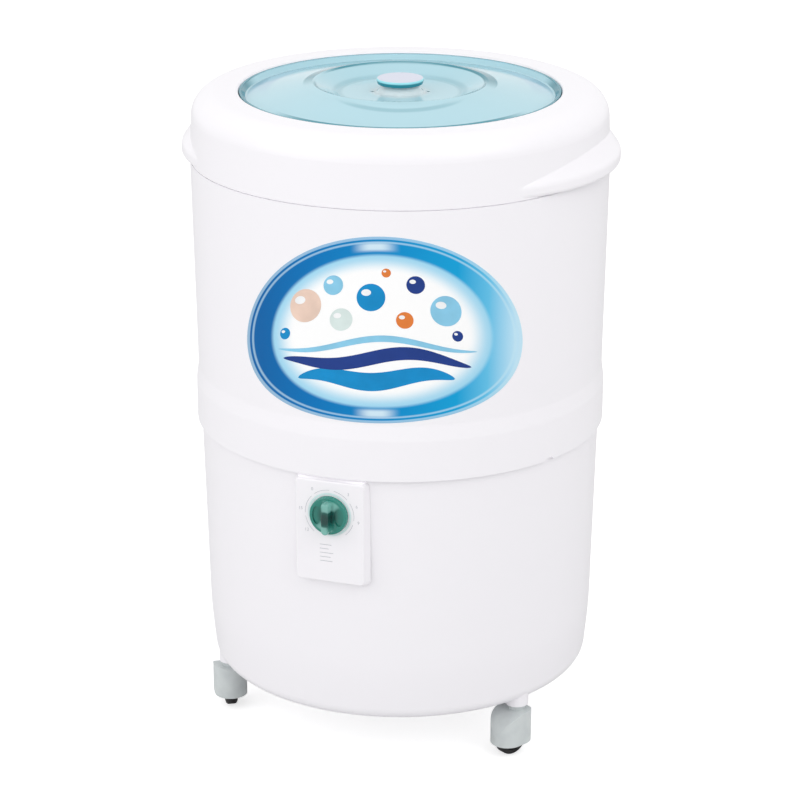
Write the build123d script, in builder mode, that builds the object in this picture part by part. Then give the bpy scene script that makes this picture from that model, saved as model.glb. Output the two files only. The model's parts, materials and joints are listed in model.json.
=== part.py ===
from build123d import *
import os
from math import asin, atan2, cos, degrees, radians, sin, sqrt, tan

# Round semi-automatic washing machine on three casters.
# Millimetres, +Z up, origin on the floor under the tub's axis, control panel towards -Y.
# An azimuth is counted from the front (-Y) towards +X.

os.makedirs("parts", exist_ok=True)

# General moulding and fit values
wall = 3.0                      # polypropylene wall of the casings
tub_wall = 3.5                  # wall of the wash tub
cover_wall = 2.8                # wall of the top cover
lid_wall = 2.4                  # wall of the transparent lid
running_gap = 0.08              # radial clearance of a shaft in its bush or bore
seat_gap = 0.3                  # clearance between seated mouldings
slip_gap = 0.15                 # radial clearance of parts that are clamped together

# Base housing
base_bottom_z = 61.5            # underside of the base above the floor
base_foot_radius = 198.4        # where wall and underside would meet
base_belly_radius = 203.6
base_belly_z = 116.0
base_rim_radius = 209.7
base_rim_z = 368.0
base_corner_radius = 14.0
belly_blend_reach = 14.2         # how far the belly's rounding runs up and down the wall
rib_foot_radius = 150.0         # inner ends of the ribs to the caster tubes
rib_thickness = 3.0
vent_count = 12
vent_width = 6.0
vent_inner_radius = 88.0
vent_outer_radius = 132.0

# Upper shell with its skirt band
lower_seam_z = 330.0
skirt_radius = 213.4
skirt_shoulder_z = 372.0
shell_waist_radius = 211.2
shell_waist_z = 388.0
shell_top_radius = 214.9
upper_seam_z = 607.4
spigot_radius = 211.2
spigot_top_z = 611.0
spigot_height = 12.0
ledge_height = 3.5
ledge_depth = 5.0
pry_notch_width = 10.0
pry_notch_height = 2.2
hook_azimuths = (-64, 64, 180)
hook_height = 6.0
hook_z = 346.0
hook_proud = 2.0

# Top cover and its side grips
cover_bottom_z = 608.2
cover_bottom_radius = 214.8
cover_shoulder_radius = 212.0
cover_top_z = 676.2
cover_shoulder_blend = 25.0
cover_edge_blend = 3.0
collar_radius = 156.2
collar_bottom_z = 646.0
grip_overhang = 13.6            # lip of the grip in front of its root
grip_arc_centre = 47.2          # offset of the grip's own arc from the tub's axis
grip_arc_half = 50.0            # half of the arc that each grip is turned through
grip_lip_bottom_z = 609.0
grip_lip_top_z = 620.7
grip_root_z = 640.0
grip_root_radius = 213.4
grip_lip_blend = 4.0
grip_brow_blend = 9.0
cover_screw_count = 4
cover_screw_circle = 205.2
cover_boss_radius = 4.0
boss_height = 32.0
flare_depth = 4.0               # how far the flare of a grip runs on behind the outer wall
finger_depth = 20.0             # how far its finger hollow runs on into the ring

# Lid and its knob
lid_radius = 163.6
lid_side_gap = 0.8
lid_rim_z = 675.2
lid_seat_depth = 8.6            # rim top above the seat
lid_rim_width = 2.2
lid_trough_radius = 157.0
lid_trough_depth = 5.8
lid_crest_radius = 88.4
lid_crest_rise = 8.6
lid_dish_radius = 63.0
lid_dish_drop = 2.5
pedestal_foot_radius = 24.0
pedestal_top_radius = 17.0
lid_knob_radius = 24.3
lid_knob_thickness = 6.0
lid_knob_top_z = 687.2
lid_vent_radius = 2.0
lid_vent_circle = 28.3
lid_vent_azimuth = 109.0

# Wash tub
tub_flange_radius = 211.0
tub_mouth_radius = 200.0
tub_foot_radius = 192.5
tub_corner_radius = 34.0
tub_floor_z = 341.0             # top of the floor around the well
well_floor_z = 328.0
well_radius = 131.0
hub_boss_radius = 24.0
tub_pillar_radius = 8.0
pillar_x = 130.0
pillar_y = 70.0

# Drive plate
plate_top_z = 303.0
plate_thickness = 3.0
plate_left = -145.0
plate_right = 172.0
plate_half_width = 80.0
plate_flange = 14.0
plate_corner = 12.0

# Pulsator and its shaft
pulsator_radius = 128.5
pulsator_rim_z = 331.5
pulsator_rim_rise = 8.0
pulsator_mid_radius = 60.0
pulsator_mid_z = 350.0
pulsator_cap_radius = 24.0
pulsator_cap_z = 366.0
pulsator_top_z = 371.0
pulsator_wall = 3.0
blade_count = 6
blade_inner_radius = 20.0
blade_outer_radius = 121.0
blade_rise_at_hub = 7.0         # top of the blades above the cap, and above the rim
blade_rise_at_rim = 18.5
pulsator_hole_count = 12
pulsator_hole_radius = 3.0
pulsator_hole_circle = 108.0
shaft_radius = 6.0
shaft_top_radius = 5.5
shaft_top_z = 357.0
shaft_nose_radius = 5.0
shaft_bottom_z = 164.0

# Bearing housing
sleeve_radius = 17.0
sleeve_bottom_z = 262.0
sleeve_flange_radius = 31.0
sleeve_flange_thickness = 5.0
gasket_thickness = 1.5
bush_outer_radius = 9.5
bush_length = 16.0
seal_radius = 14.0
seal_height = 7.5
housing_nut_thickness = 10.0
housing_nut_across_flats = 46.0

# Belt drive
motor_offset = 115.0            # centre distance of the two pulleys
driven_pitch_radius = 78.0
motor_pitch_radius = 24.0
belt_height = 6.0
belt_outer_width = 9.5
belt_inner_width = 6.0
pulley_bottom_z = 178.0
pulley_width = 16.0
rim_lip = 3.5                   # rim above the pitch line
groove_depth = 8.5
spoke_count = 5

# Motor
stator_radius = 46.0
stator_bottom_z = 226.0
stator_top_z = 269.0
stator_bore_radius = 27.2
rotor_radius = 26.6
shield_height = 21.0
shield_wall = 3.0
winding_inner_radius = 30.0
winding_outer_radius = 39.5
winding_height = 12.0
motor_shaft_radius = 6.0
motor_bolt_circle = 42.0
motor_bolt_radius = 2.0
mount_circle = 56.0
mount_bolt_radius = 3.0
mount_arm_thickness = 4.0
grommet_radius = 9.0
motor_bush_radius = 10.0
motor_bush_length = 12.0

# Capacitor
capacitor_radius = 17.5
capacitor_height = 70.0
capacitor_x = -95.0
capacitor_top_z = 292.0
clamp_thickness = 1.8
clamp_height = 15.0
clamp_drop = 30.0               # underside of the strap below the capacitor's top
clamp_foot_length = 17.0
clamp_foot_width = 14.0

# Drain
drain_y = 110.0                 # outlet in the tub's well
drain_hole_radius = 13.0
drain_pipe_radius = 12.5
drain_pipe_wall = 2.6
drain_z = 284.0
drain_reach = 229.0             # end of the hose spigot behind the machine
drain_bend = 24.0
drain_grommet_nose = 1.2
spigot_length = 15.0            # free end that the hose is pushed on
bead_width = 1.5
bead_height = 1.5
strainer_radius = 17.0
strainer_thickness = 2.0

# Mains lead inlet
cable_z = 150.0
cable_hole_radius = 3.6
cable_gland_neck = 8.0
cable_gland_flange = 12.0
cable_gland_nose = 12.0

# Control panel, timer and its knob
panel_width = 79.5
panel_height = 115.0
panel_top_z = 329.4
panel_face_y = 213.6            # face in front of the tub's axis
panel_depth = 9.6
panel_side_taper = 22.0
panel_corner = 8.0
panel_skin = 3.0
window_width = 54.0
window_bottom_z = 232.0
window_top_z = 320.0
knob_z = 291.0
knob_radius = 20.0
knob_skirt = 5.0
knob_height = 14.6
knob_face_gap = 0.8
knob_grip_width = 9.0
timer_shaft_radius = 3.0
timer_width = 44.0
timer_depth = 30.0
timer_plate_thickness = 1.5
timer_screw_spacing = 28.0
panel_screw_x = 32.0
panel_screw_inset = 7.5

# Casters
caster_names = {"front_right": 60, "rear": 180, "front_left": -60}
caster_circle = 186.0
caster_trail = 8.0
wheel_radius = 19.0
wheel_width = 12.0
wheel_edge_blend = 3.0
caster_axle_radius = 2.5
caster_axle_length = 30.0
hood_length = 45.0
hood_width = 35.0
hood_bottom_z = 14.5
hood_top_z = 50.0
hood_wall = 2.2
hood_roof_z = 42.0
hood_brow_blend = 26.0
hood_neck_radius = 9.0
caster_stem_radius = 4.0
caster_stem_top_z = 85.0
caster_boss_radius = 12.0
caster_boss_bottom_z = 55.0
caster_tube_top_z = 89.0
retaining_ring_z = 79.0
retaining_ring_height = 1.6
retaining_ring_proud = 0.7      # ring outside the stem, and how far it bites into the stem
retaining_ring_bite = 0.35
retaining_ring_slit = 2.0

# Fasteners
small_screw_radius = 1.9
cover_screw_radius = 1.9
plate_screw_radius = 3.0
plate_screw_bite = 16.0         # length in the tub's pillars
cover_screw_length = 17.0
cover_screw_head = 2.7          # radius of the head, and its height
cover_screw_head_height = 2.6
hex_head_half = 5.0             # half the width across the flats
hex_head_height = 4.0


def base_outer_radius(z):
    """Outer radius of the base wall above its belly, at height z."""
    share = (z - base_belly_z) / (base_rim_z - base_belly_z)
    return base_belly_radius + share * (base_rim_radius - base_belly_radius)


def radial_plane(azimuth):
    """Upright plane through the tub's axis: local x points outwards, local y up."""
    a = radians(azimuth)
    return Plane(origin=(0, 0, 0), x_dir=(sin(a), -cos(a), 0), z_dir=(-cos(a), -sin(a), 0))


def on_circle(radius, azimuth, z=0.0):
    """Point at an azimuth from the front on a circle around the tub's axis."""
    a = radians(azimuth)
    return (radius * sin(a), -radius * cos(a), z)


# Base housing: a tapered bucket that carries the casters and closes the drive off from below
base_wall_radius = base_outer_radius(drain_z)
caster_points = [on_circle(caster_circle, a) for a in caster_names.values()]
panel_centre_z = panel_top_z - panel_height / 2
belly_turn = abs(
    atan2(base_rim_radius - base_belly_radius, base_rim_z - base_belly_z)
    - atan2(base_belly_radius - base_foot_radius, base_belly_z - base_bottom_z)
)
belly_blend = belly_blend_reach / tan(belly_turn / 2)
panel_screw_zs = (panel_top_z - panel_screw_inset, panel_top_z - panel_height + panel_screw_inset)

with BuildPart() as base_housing:
    with BuildSketch(Plane.XZ):
        with BuildLine():
            base_outline = FilletPolyline(
                (0, base_bottom_z),
                (base_foot_radius, base_bottom_z),
                (base_belly_radius, base_belly_z),
                (base_rim_radius, base_rim_z),
                radius=[base_corner_radius, belly_blend],
            )
            offset(base_outline, amount=wall, side=Side.LEFT)
        make_face()
    revolve(axis=Axis.Z)
    # bosses for the caster stems, below and inside the floor
    with BuildSketch(Plane.XY.offset(caster_boss_bottom_z)):
        with Locations(*[(x, y) for x, y, z in caster_points]):
            Circle(caster_boss_radius)
    extrude(amount=base_bottom_z + 12.0 - caster_boss_bottom_z)
    with BuildSketch(Plane.XY.offset(base_bottom_z + 1.0)):
        with Locations(*[(x, y) for x, y, z in caster_points]):
            Circle(caster_boss_radius - 2.5)
    extrude(amount=caster_tube_top_z - base_bottom_z - 1.0)
    with BuildSketch(Plane.XY.offset(caster_boss_bottom_z)):
        with Locations(*[(x, y) for x, y, z in caster_points]):
            Circle(caster_stem_radius + running_gap)
    extrude(amount=caster_stem_top_z + 1.0 - caster_boss_bottom_z, mode=Mode.SUBTRACT)
    # groove for the ring that keeps each stem in
    with BuildSketch(Plane.XY.offset(retaining_ring_z - 0.2)):
        with Locations(*[(x, y) for x, y, z in caster_points]):
            Circle(caster_stem_radius + 0.9)
    extrude(amount=retaining_ring_height + 0.4, mode=Mode.SUBTRACT)
    # stiffening ribs between the floor and the caster tubes
    for azimuth in caster_names.values():
        with BuildSketch(radial_plane(azimuth)):
            with BuildLine():
                Polyline(
                    (rib_foot_radius, base_bottom_z + 1.0),
                    (caster_circle - caster_boss_radius + 3.5, base_bottom_z + 1.0),
                    (caster_circle - caster_boss_radius + 3.5, caster_tube_top_z - 3.0),
                    (rib_foot_radius, base_bottom_z + 1.0),
                )
            make_face()
        extrude(amount=rib_thickness / 2, both=True)
    # ventilation slots in the floor
    with BuildSketch(Plane.XY.offset(base_bottom_z - 1.0)):
        with PolarLocations((vent_inner_radius + vent_outer_radius) / 2, vent_count):
            SlotOverall(vent_outer_radius - vent_inner_radius, vent_width)
    extrude(amount=wall + 2.0, mode=Mode.SUBTRACT)
    # timer window and panel screw holes at the front
    with BuildSketch(Plane.XZ.offset(base_wall_radius - 30.0)):
        with Locations((0, (window_bottom_z + window_top_z) / 2)):
            RectangleRounded(window_width, window_top_z - window_bottom_z, 4.0)
        with Locations(*[(x, z) for x in (-panel_screw_x, panel_screw_x) for z in panel_screw_zs]):
            Circle(small_screw_radius + 0.6)
    extrude(amount=40.0, mode=Mode.SUBTRACT)
    # drain pipe and mains lead holes at the back
    with BuildSketch(Plane.XZ.offset(-(base_wall_radius - 30.0))):
        with Locations((0, drain_z)):
            Circle(drain_pipe_radius + 5.0)
        with Locations((0, cable_z)):
            Circle(cable_gland_neck)
    extrude(amount=-40.0, mode=Mode.SUBTRACT)
    # snap hooks under the skirt
    for azimuth in hook_azimuths:
        hook_radius = base_outer_radius(hook_z)
        with BuildSketch(radial_plane(azimuth - 2.0)):
            with BuildLine():
                Polyline(
                    (hook_radius - 1.0, hook_z),
                    (hook_radius + hook_proud, hook_z),
                    (hook_radius + 0.1, hook_z + hook_height),
                    (hook_radius - 1.0, hook_z + hook_height),
                    (hook_radius - 1.0, hook_z),
                )
            make_face()
        revolve(axis=Axis.Z, revolution_arc=4.0)
base_housing.part.label = "base_housing"
export_step(base_housing.part, "parts/base_housing.step")

# Upper shell: the outer wall between the seams, with the skirt band that laps over the base
with BuildPart() as upper_shell:
    with BuildSketch(Plane.XZ):
        with BuildLine():
            shell_outline = FilletPolyline(
                (skirt_radius, lower_seam_z),
                (skirt_radius, skirt_shoulder_z),
                (shell_waist_radius, shell_waist_z),
                (shell_top_radius, upper_seam_z),
                radius=[16.0, 16.0],
            )
            offset(shell_outline, amount=wall, side=Side.LEFT)
        make_face()
    revolve(axis=Axis.Z)
    # spigot that the cover fits over, and the ledge that sits on the base's rim
    with BuildSketch(Plane.XY.offset(spigot_top_z - spigot_height)):
        Circle(spigot_radius + 1.5)
        Circle(spigot_radius - wall, mode=Mode.SUBTRACT)
    extrude(amount=upper_seam_z - spigot_top_z + spigot_height)
    with BuildSketch(Plane.XY.offset(upper_seam_z - 1.0)):
        Circle(spigot_radius)
        Circle(spigot_radius - wall, mode=Mode.SUBTRACT)
    extrude(amount=spigot_top_z - upper_seam_z + 1.0)
    with BuildSketch(Plane.XY.offset(base_rim_z + seat_gap)):
        Circle(skirt_radius - 1.5)
        Circle(base_rim_radius - ledge_depth, mode=Mode.SUBTRACT)
    extrude(amount=ledge_height)
    # windows for the snap hooks inside the skirt, and the notches to pry it off
    for azimuth in hook_azimuths:
        with BuildSketch(radial_plane(azimuth - 2.6)):
            with Locations((skirt_radius - wall + 0.5, hook_z + hook_height / 2)):
                Rectangle(2.2, hook_height + 1.6)
        revolve(axis=Axis.Z, revolution_arc=5.2, mode=Mode.SUBTRACT)
        with BuildSketch(radial_plane(azimuth - degrees(pry_notch_width / 2 / skirt_radius))):
            with Locations((skirt_radius, lower_seam_z)):
                Rectangle(2.5 * wall, 2 * pry_notch_height)
        revolve(
            axis=Axis.Z,
            revolution_arc=degrees(pry_notch_width / skirt_radius),
            mode=Mode.SUBTRACT,
        )
upper_shell.part.label = "upper_shell"
export_step(upper_shell.part, "parts/upper_shell.step")

# Wash tub: hangs by its flange on the shell and carries the drive plate on pillars
flange_z = spigot_top_z
well_under_z = well_floor_z - tub_wall
floor_under_z = tub_floor_z - tub_wall
pillar_points = [(x, y) for x in (-pillar_x, pillar_x) for y in (-pillar_y, pillar_y)]
cover_screw_azimuths = [45 + k * 360 / cover_screw_count for k in range(cover_screw_count)]
cover_screw_points = [on_circle(cover_screw_circle, a) for a in cover_screw_azimuths]

with BuildPart() as wash_tub:
    with BuildSketch(Plane.XZ):
        with BuildLine():
            tub_outline = FilletPolyline(
                (0, well_under_z),
                (well_radius + tub_wall, well_under_z),
                (well_radius + tub_wall + 1.0, floor_under_z),
                (tub_foot_radius, floor_under_z),
                (tub_mouth_radius, flange_z),
                (tub_flange_radius, flange_z),
                radius=[6.0, 3.0, tub_corner_radius, 2.0],
            )
            offset(tub_outline, amount=tub_wall, side=Side.LEFT)
        make_face()
    revolve(axis=Axis.Z)
    with BuildSketch(Plane.XY.offset(plate_top_z)):
        Circle(hub_boss_radius)
    extrude(amount=well_under_z + 1.0 - plate_top_z)
    with BuildSketch(Plane.XY.offset(plate_top_z)):
        with Locations(*pillar_points):
            Circle(tub_pillar_radius)
    extrude(amount=floor_under_z + 1.0 - plate_top_z)
    # outlet spigot under the well
    with BuildSketch(Plane.XY.offset(well_under_z - 12.0)):
        with Locations((0, drain_y)):
            Circle(drain_hole_radius + 3.0)
    extrude(amount=13.0)
    with BuildSketch(Plane.XY.offset(well_under_z - 13.0)):
        with Locations((0, drain_y)):
            Circle(drain_hole_radius)
        Circle(sleeve_radius + slip_gap)
    extrude(amount=20.0, mode=Mode.SUBTRACT)
    with BuildSketch(Plane.XY.offset(well_floor_z - strainer_thickness)):
        with Locations((0, drain_y)):
            Circle(strainer_radius + slip_gap)
    extrude(amount=strainer_thickness + 1.0, mode=Mode.SUBTRACT)
    with BuildSketch(Plane.XY.offset(plate_top_z - 2.0)):
        Circle(sleeve_radius + slip_gap)
        with Locations(*pillar_points):
            Circle(plate_screw_radius + 0.1)
    extrude(amount=plate_screw_bite + 6.0, mode=Mode.SUBTRACT)
    with BuildSketch(Plane.XY.offset(flange_z - 1.0)):
        with Locations(*[(x, y) for x, y, z in cover_screw_points]):
            Circle(cover_screw_radius + 0.4)
    extrude(amount=tub_wall + 2.0, mode=Mode.SUBTRACT)
wash_tub.part.label = "wash_tub"
export_step(wash_tub.part, "parts/wash_tub.step")

# Top cover: shouldered ring with the lid's recess, a splash collar and a flared grip each side
seat_z = lid_rim_z - lid_seat_depth
opening_radius = lid_radius + lid_side_gap
flange_top_z = flange_z + tub_wall
grip_reach = grip_root_radius + grip_overhang
grip_slope = (grip_root_z - grip_lip_top_z) / grip_overhang
flare_radius = grip_root_radius - flare_depth
flare_top_z = grip_root_z + flare_depth * grip_slope
finger_radius = grip_root_radius - finger_depth
finger_top_z = grip_root_z - 1.2 + (finger_depth - cover_wall) * grip_slope


def grip_axis(side):
    """Upright axis of the grip on one side, +1 for +X and -1 for -X."""
    return Axis((side * grip_arc_centre, 0, 0), (0, 0, 1))


def grip_plane(side):
    """Upright plane through a grip's axis, where its arc starts: local x outwards, y up."""
    start = radians(90 - 90 * side - grip_arc_half)
    return Plane(
        origin=(side * grip_arc_centre, 0, 0),
        x_dir=(cos(start), sin(start), 0),
        z_dir=(sin(start), -cos(start), 0),
    )


with BuildPart() as top_cover:
    with BuildSketch(Plane.XZ):
        with BuildLine():
            FilletPolyline(
                (cover_bottom_radius, cover_bottom_z),
                (cover_shoulder_radius, cover_top_z),
                (opening_radius, cover_top_z + 0.5),
                (opening_radius, seat_z),
                (collar_radius, seat_z),
                radius=[cover_shoulder_blend, cover_edge_blend, 0.6],
            )
            Polyline(
                (collar_radius, seat_z),
                (collar_radius, cover_bottom_z),
                (cover_bottom_radius, cover_bottom_z),
            )
        make_face()
    revolve(axis=Axis.Z)
    # each flare is turned part of the way about its own axis, so its lip runs out into the wall
    for side in (-1, 1):
        with BuildSketch(grip_plane(side)):
            with BuildLine():
                FilletPolyline(
                    (flare_radius - grip_arc_centre, grip_lip_bottom_z),
                    (grip_reach - grip_arc_centre, grip_lip_bottom_z),
                    (grip_reach - grip_arc_centre, grip_lip_top_z),
                    (flare_radius - grip_arc_centre, flare_top_z),
                    radius=[grip_lip_blend, grip_brow_blend],
                )
                Line(
                    (flare_radius - grip_arc_centre, flare_top_z),
                    (flare_radius - grip_arc_centre, grip_lip_bottom_z),
                )
            make_face()
        revolve(axis=grip_axis(side), revolution_arc=2 * grip_arc_half)
    # hollow to the wall, with the splash collar left under the seat
    with BuildSketch(Plane.XZ):
        with BuildLine():
            FilletPolyline(
                (cover_bottom_radius - cover_wall, cover_bottom_z - 1.0),
                (cover_shoulder_radius - cover_wall, cover_top_z - cover_wall),
                (opening_radius + cover_wall, cover_top_z + 0.5 - cover_wall),
                (opening_radius + cover_wall, seat_z - cover_wall),
                (collar_radius + cover_wall, seat_z - cover_wall),
                (collar_radius + cover_wall, collar_bottom_z),
                (collar_radius - 1.0, collar_bottom_z),
                radius=[cover_shoulder_blend - cover_wall, 0.5, 2.0, 0.5, 1.0],
            )
            Polyline(
                (collar_radius - 1.0, collar_bottom_z),
                (collar_radius - 1.0, cover_bottom_z - 1.0),
                (cover_bottom_radius - cover_wall, cover_bottom_z - 1.0),
            )
        make_face()
    revolve(axis=Axis.Z, mode=Mode.SUBTRACT)
    # finger hollows under the flares
    for side in (-1, 1):
        with BuildSketch(grip_plane(side)):
            with BuildLine():
                FilletPolyline(
                    (finger_radius - grip_arc_centre, cover_bottom_z - 1.0),
                    (grip_reach - cover_wall - grip_arc_centre, cover_bottom_z - 1.0),
                    (grip_reach - cover_wall - grip_arc_centre, grip_lip_top_z - 1.2),
                    (finger_radius - grip_arc_centre, finger_top_z),
                    radius=[0.6, grip_brow_blend - cover_wall],
                )
                Line(
                    (finger_radius - grip_arc_centre, finger_top_z),
                    (finger_radius - grip_arc_centre, cover_bottom_z - 1.0),
                )
            make_face()
        revolve(axis=grip_axis(side), revolution_arc=2 * grip_arc_half, mode=Mode.SUBTRACT)
    # screw bosses that stand on the tub's flange, each with a rib to the wall
    with BuildSketch(Plane.XY.offset(flange_top_z)):
        with Locations(*[(x, y) for x, y, z in cover_screw_points]):
            Circle(cover_boss_radius)
        with PolarLocations(cover_screw_circle + 3.0, cover_screw_count, start_angle=45):
            Rectangle(7.0, 2.0)
    extrude(amount=boss_height)
    with BuildSketch(Plane.XY.offset(flange_top_z)):
        with Locations(*[(x, y) for x, y, z in cover_screw_points]):
            Circle(cover_screw_radius + 0.05)
    extrude(amount=cover_screw_length + 1.0, mode=Mode.SUBTRACT)
top_cover.part.label = "top_cover"
export_step(top_cover.part, "parts/top_cover.step")

# Lid: transparent dished disc with a raised crest, a sunk dish and a hollow pedestal
trough_z = lid_rim_z - lid_trough_depth
crest_z = lid_rim_z + lid_crest_rise
dish_z = lid_rim_z - lid_dish_drop
knob_under_z = lid_knob_top_z - lid_knob_thickness
lid_vents = [on_circle(lid_vent_circle, lid_vent_azimuth + k * 180) for k in range(2)]

with BuildPart() as lid:
    with BuildSketch(Plane.XZ):
        with BuildLine():
            lid_outline = FilletPolyline(
                (0, knob_under_z),
                (pedestal_top_radius, knob_under_z),
                (pedestal_foot_radius, dish_z),
                (lid_dish_radius, dish_z),
                (lid_crest_radius, crest_z),
                (lid_trough_radius, trough_z),
                (lid_radius - lid_rim_width + 0.2, lid_rim_z - 0.5),
                radius=[3.0, 3.0, 5.0, 4.0, 2.6],
            )
            offset(lid_outline, amount=lid_wall, side=Side.RIGHT)
        make_face()
    revolve(axis=Axis.Z)
    with BuildSketch(Plane.XY.offset(seat_z)):
        Circle(lid_radius)
        Circle(lid_radius - lid_rim_width, mode=Mode.SUBTRACT)
    extrude(amount=lid_seat_depth)
    with BuildSketch(Plane.XY.offset(dish_z - lid_wall - 1.0)):
        with Locations(*[(x, y) for x, y, z in lid_vents]):
            Circle(lid_vent_radius)
    extrude(amount=lid_wall + 2.0, mode=Mode.SUBTRACT)
    with BuildSketch(Plane.XY.offset(knob_under_z - lid_wall - 1.0)):
        Circle(cover_screw_radius + 0.3)
    extrude(amount=lid_wall + 2.0, mode=Mode.SUBTRACT)
lid.part.label = "lid"
export_step(lid.part, "parts/lid.step")

with BuildPart() as lid_knob:
    with BuildSketch(Plane.XZ):
        with BuildLine():
            FilletPolyline(
                (0, knob_under_z),
                (lid_knob_radius - 1.0, knob_under_z),
                (lid_knob_radius, lid_knob_top_z),
                (0, lid_knob_top_z),
                radius=[1.2, 1.5],
            )
            Line((0, lid_knob_top_z), (0, knob_under_z))
        make_face()
    revolve(axis=Axis.Z)
    with BuildSketch(Plane.XY.offset(knob_under_z)):
        Circle(cover_screw_radius + 0.05)
    extrude(amount=lid_knob_thickness - 3.2, mode=Mode.SUBTRACT)
lid_knob.part.label = "lid_knob"
export_step(lid_knob.part, "parts/lid_knob.step")

with BuildPart() as lid_knob_screw:
    with BuildSketch(Plane.XY.offset(knob_under_z - lid_wall - 2.4)):
        Circle(3.8)
    extrude(amount=2.4)
    fillet(lid_knob_screw.edges().group_by(Axis.Z)[0], radius=1.0)
    with BuildSketch(Plane.XY.offset(knob_under_z - lid_wall)):
        Circle(cover_screw_radius)
    extrude(amount=lid_wall + 2.4)
lid_knob_screw.part.label = "lid_knob_screw"
export_step(lid_knob_screw.part, "parts/lid_knob_screw.step")

with BuildPart() as cover_screws:
    with BuildSketch(Plane.XY.offset(flange_z - cover_screw_head_height)):
        with Locations(*[(x, y) for x, y, z in cover_screw_points]):
            Circle(cover_screw_head)
    extrude(amount=cover_screw_head_height)
    with BuildSketch(Plane.XY.offset(flange_z)):
        with Locations(*[(x, y) for x, y, z in cover_screw_points]):
            Circle(cover_screw_radius)
    extrude(amount=cover_screw_length)
cover_screws.part.label = "cover_screws"
export_step(cover_screws.part, "parts/cover_screws.step")

# Control panel: a raised plate with sloping sides, hollow behind for the timer
knob_plane = Plane(origin=(0, -panel_face_y, knob_z), x_dir=(1, 0, 0), z_dir=(0, -1, 0))
pocket_floor_y = panel_face_y - panel_skin

with BuildPart() as control_panel:
    with BuildSketch(Plane.XZ.offset(panel_face_y - panel_depth)):
        with Locations((0, panel_centre_z)):
            RectangleRounded(panel_width, panel_height, panel_corner)
    extrude(amount=panel_depth, taper=panel_side_taper)
    fillet(control_panel.faces().sort_by(Axis.Y)[0].edges(), radius=1.5)
    # the back follows the wall of the base
    with BuildSketch(Plane.XZ):
        with BuildLine():
            Polyline(
                (0, base_belly_z),
                (base_belly_radius + slip_gap, base_belly_z),
                (base_rim_radius + slip_gap, base_rim_z),
                (0, base_rim_z),
                (0, base_belly_z),
            )
        make_face()
    revolve(axis=Axis.Z, mode=Mode.SUBTRACT)
    with BuildSketch(Plane.XZ.offset(pocket_floor_y - 10.0)):
        with Locations((0, (window_bottom_z + window_top_z) / 2)):
            RectangleRounded(window_width - 2.0, window_top_z - window_bottom_z - 2.0, 3.0)
    extrude(amount=10.0, mode=Mode.SUBTRACT)
    with BuildSketch(knob_plane.offset(-panel_skin - 1.0)):
        Circle(timer_shaft_radius + 0.7)
        with GridLocations(timer_screw_spacing, 1.0, 2, 1):
            Circle(small_screw_radius + 0.2)
    extrude(amount=panel_skin + 2.0, mode=Mode.SUBTRACT)
    with BuildSketch(knob_plane.offset(-1.6)):
        with GridLocations(timer_screw_spacing, 1.0, 2, 1):
            Circle(3.4)
    extrude(amount=2.0, mode=Mode.SUBTRACT)
    with BuildSketch(Plane.XZ.offset(panel_face_y - panel_depth)):
        with Locations(*[(x, z) for x in (-panel_screw_x, panel_screw_x) for z in panel_screw_zs]):
            Circle(small_screw_radius + 0.05)
    extrude(amount=panel_depth - 2.4, mode=Mode.SUBTRACT)
control_panel.part.label = "control_panel"
export_step(control_panel.part, "parts/control_panel.step")

panel_screw_head = 3.2
panel_screw_tip_y = panel_face_y - 2.8
with BuildPart() as panel_screws:
    for z in panel_screw_zs:
        inner_radius = base_outer_radius(z - panel_screw_head) - wall
        seat_y = sqrt(inner_radius ** 2 - (panel_screw_x + panel_screw_head) ** 2) - 0.05
        with BuildSketch(Plane.XZ.offset(seat_y - 2.2)):
            with Locations((-panel_screw_x, z), (panel_screw_x, z)):
                Circle(panel_screw_head)
        extrude(amount=2.2)
        with BuildSketch(Plane.XZ.offset(seat_y - 1.0)):
            with Locations((-panel_screw_x, z), (panel_screw_x, z)):
                Circle(small_screw_radius)
        extrude(amount=panel_screw_tip_y - seat_y + 1.0)
panel_screws.part.label = "panel_screws"
export_step(panel_screws.part, "parts/panel_screws.step")

# Timer: clockwork case behind a steel plate, its shaft and the knob
timer_plate_y = pocket_floor_y - 0.2
with BuildPart() as timer_plate:
    with BuildSketch(Plane.XZ.offset(timer_plate_y - timer_plate_thickness)):
        with Locations((0, knob_z)):
            RectangleRounded(timer_width + 4.0, timer_width - 10.0, 3.0)
            Circle(timer_shaft_radius + 1.0, mode=Mode.SUBTRACT)
            with GridLocations(timer_screw_spacing, 1.0, 2, 1):
                Circle(small_screw_radius + 0.05, mode=Mode.SUBTRACT)
    extrude(amount=timer_plate_thickness)
timer_plate.part.label = "timer_plate"
export_step(timer_plate.part, "parts/timer_plate.step")

timer_face_y = timer_plate_y - timer_plate_thickness
with BuildPart() as timer_case:
    with BuildSketch(Plane.XZ.offset(timer_face_y - timer_depth)):
        with Locations((0, knob_z)):
            RectangleRounded(timer_width, timer_width, 6.0)
    extrude(amount=timer_depth)
    with BuildSketch(Plane.XZ.offset(timer_face_y - 22.0)):
        with Locations((0, knob_z)):
            Circle(timer_shaft_radius + running_gap)
    extrude(amount=23.0, mode=Mode.SUBTRACT)
    with BuildSketch(Plane.XZ.offset(timer_face_y - 7.0)):
        with Locations((0, knob_z)):
            with GridLocations(timer_screw_spacing, 1.0, 2, 1):
                Circle(small_screw_radius + 0.05)
    extrude(amount=8.0, mode=Mode.SUBTRACT)
    # blade terminals on the back
    with BuildSketch(Plane.XZ.offset(timer_face_y - timer_depth - 8.0)):
        with Locations((0, knob_z)):
            with GridLocations(12.0, 14.0, 3, 2):
                Rectangle(6.3, 0.8)
    extrude(amount=9.0)
timer_case.part.label = "timer_case"
export_step(timer_case.part, "parts/timer_case.step")

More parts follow.
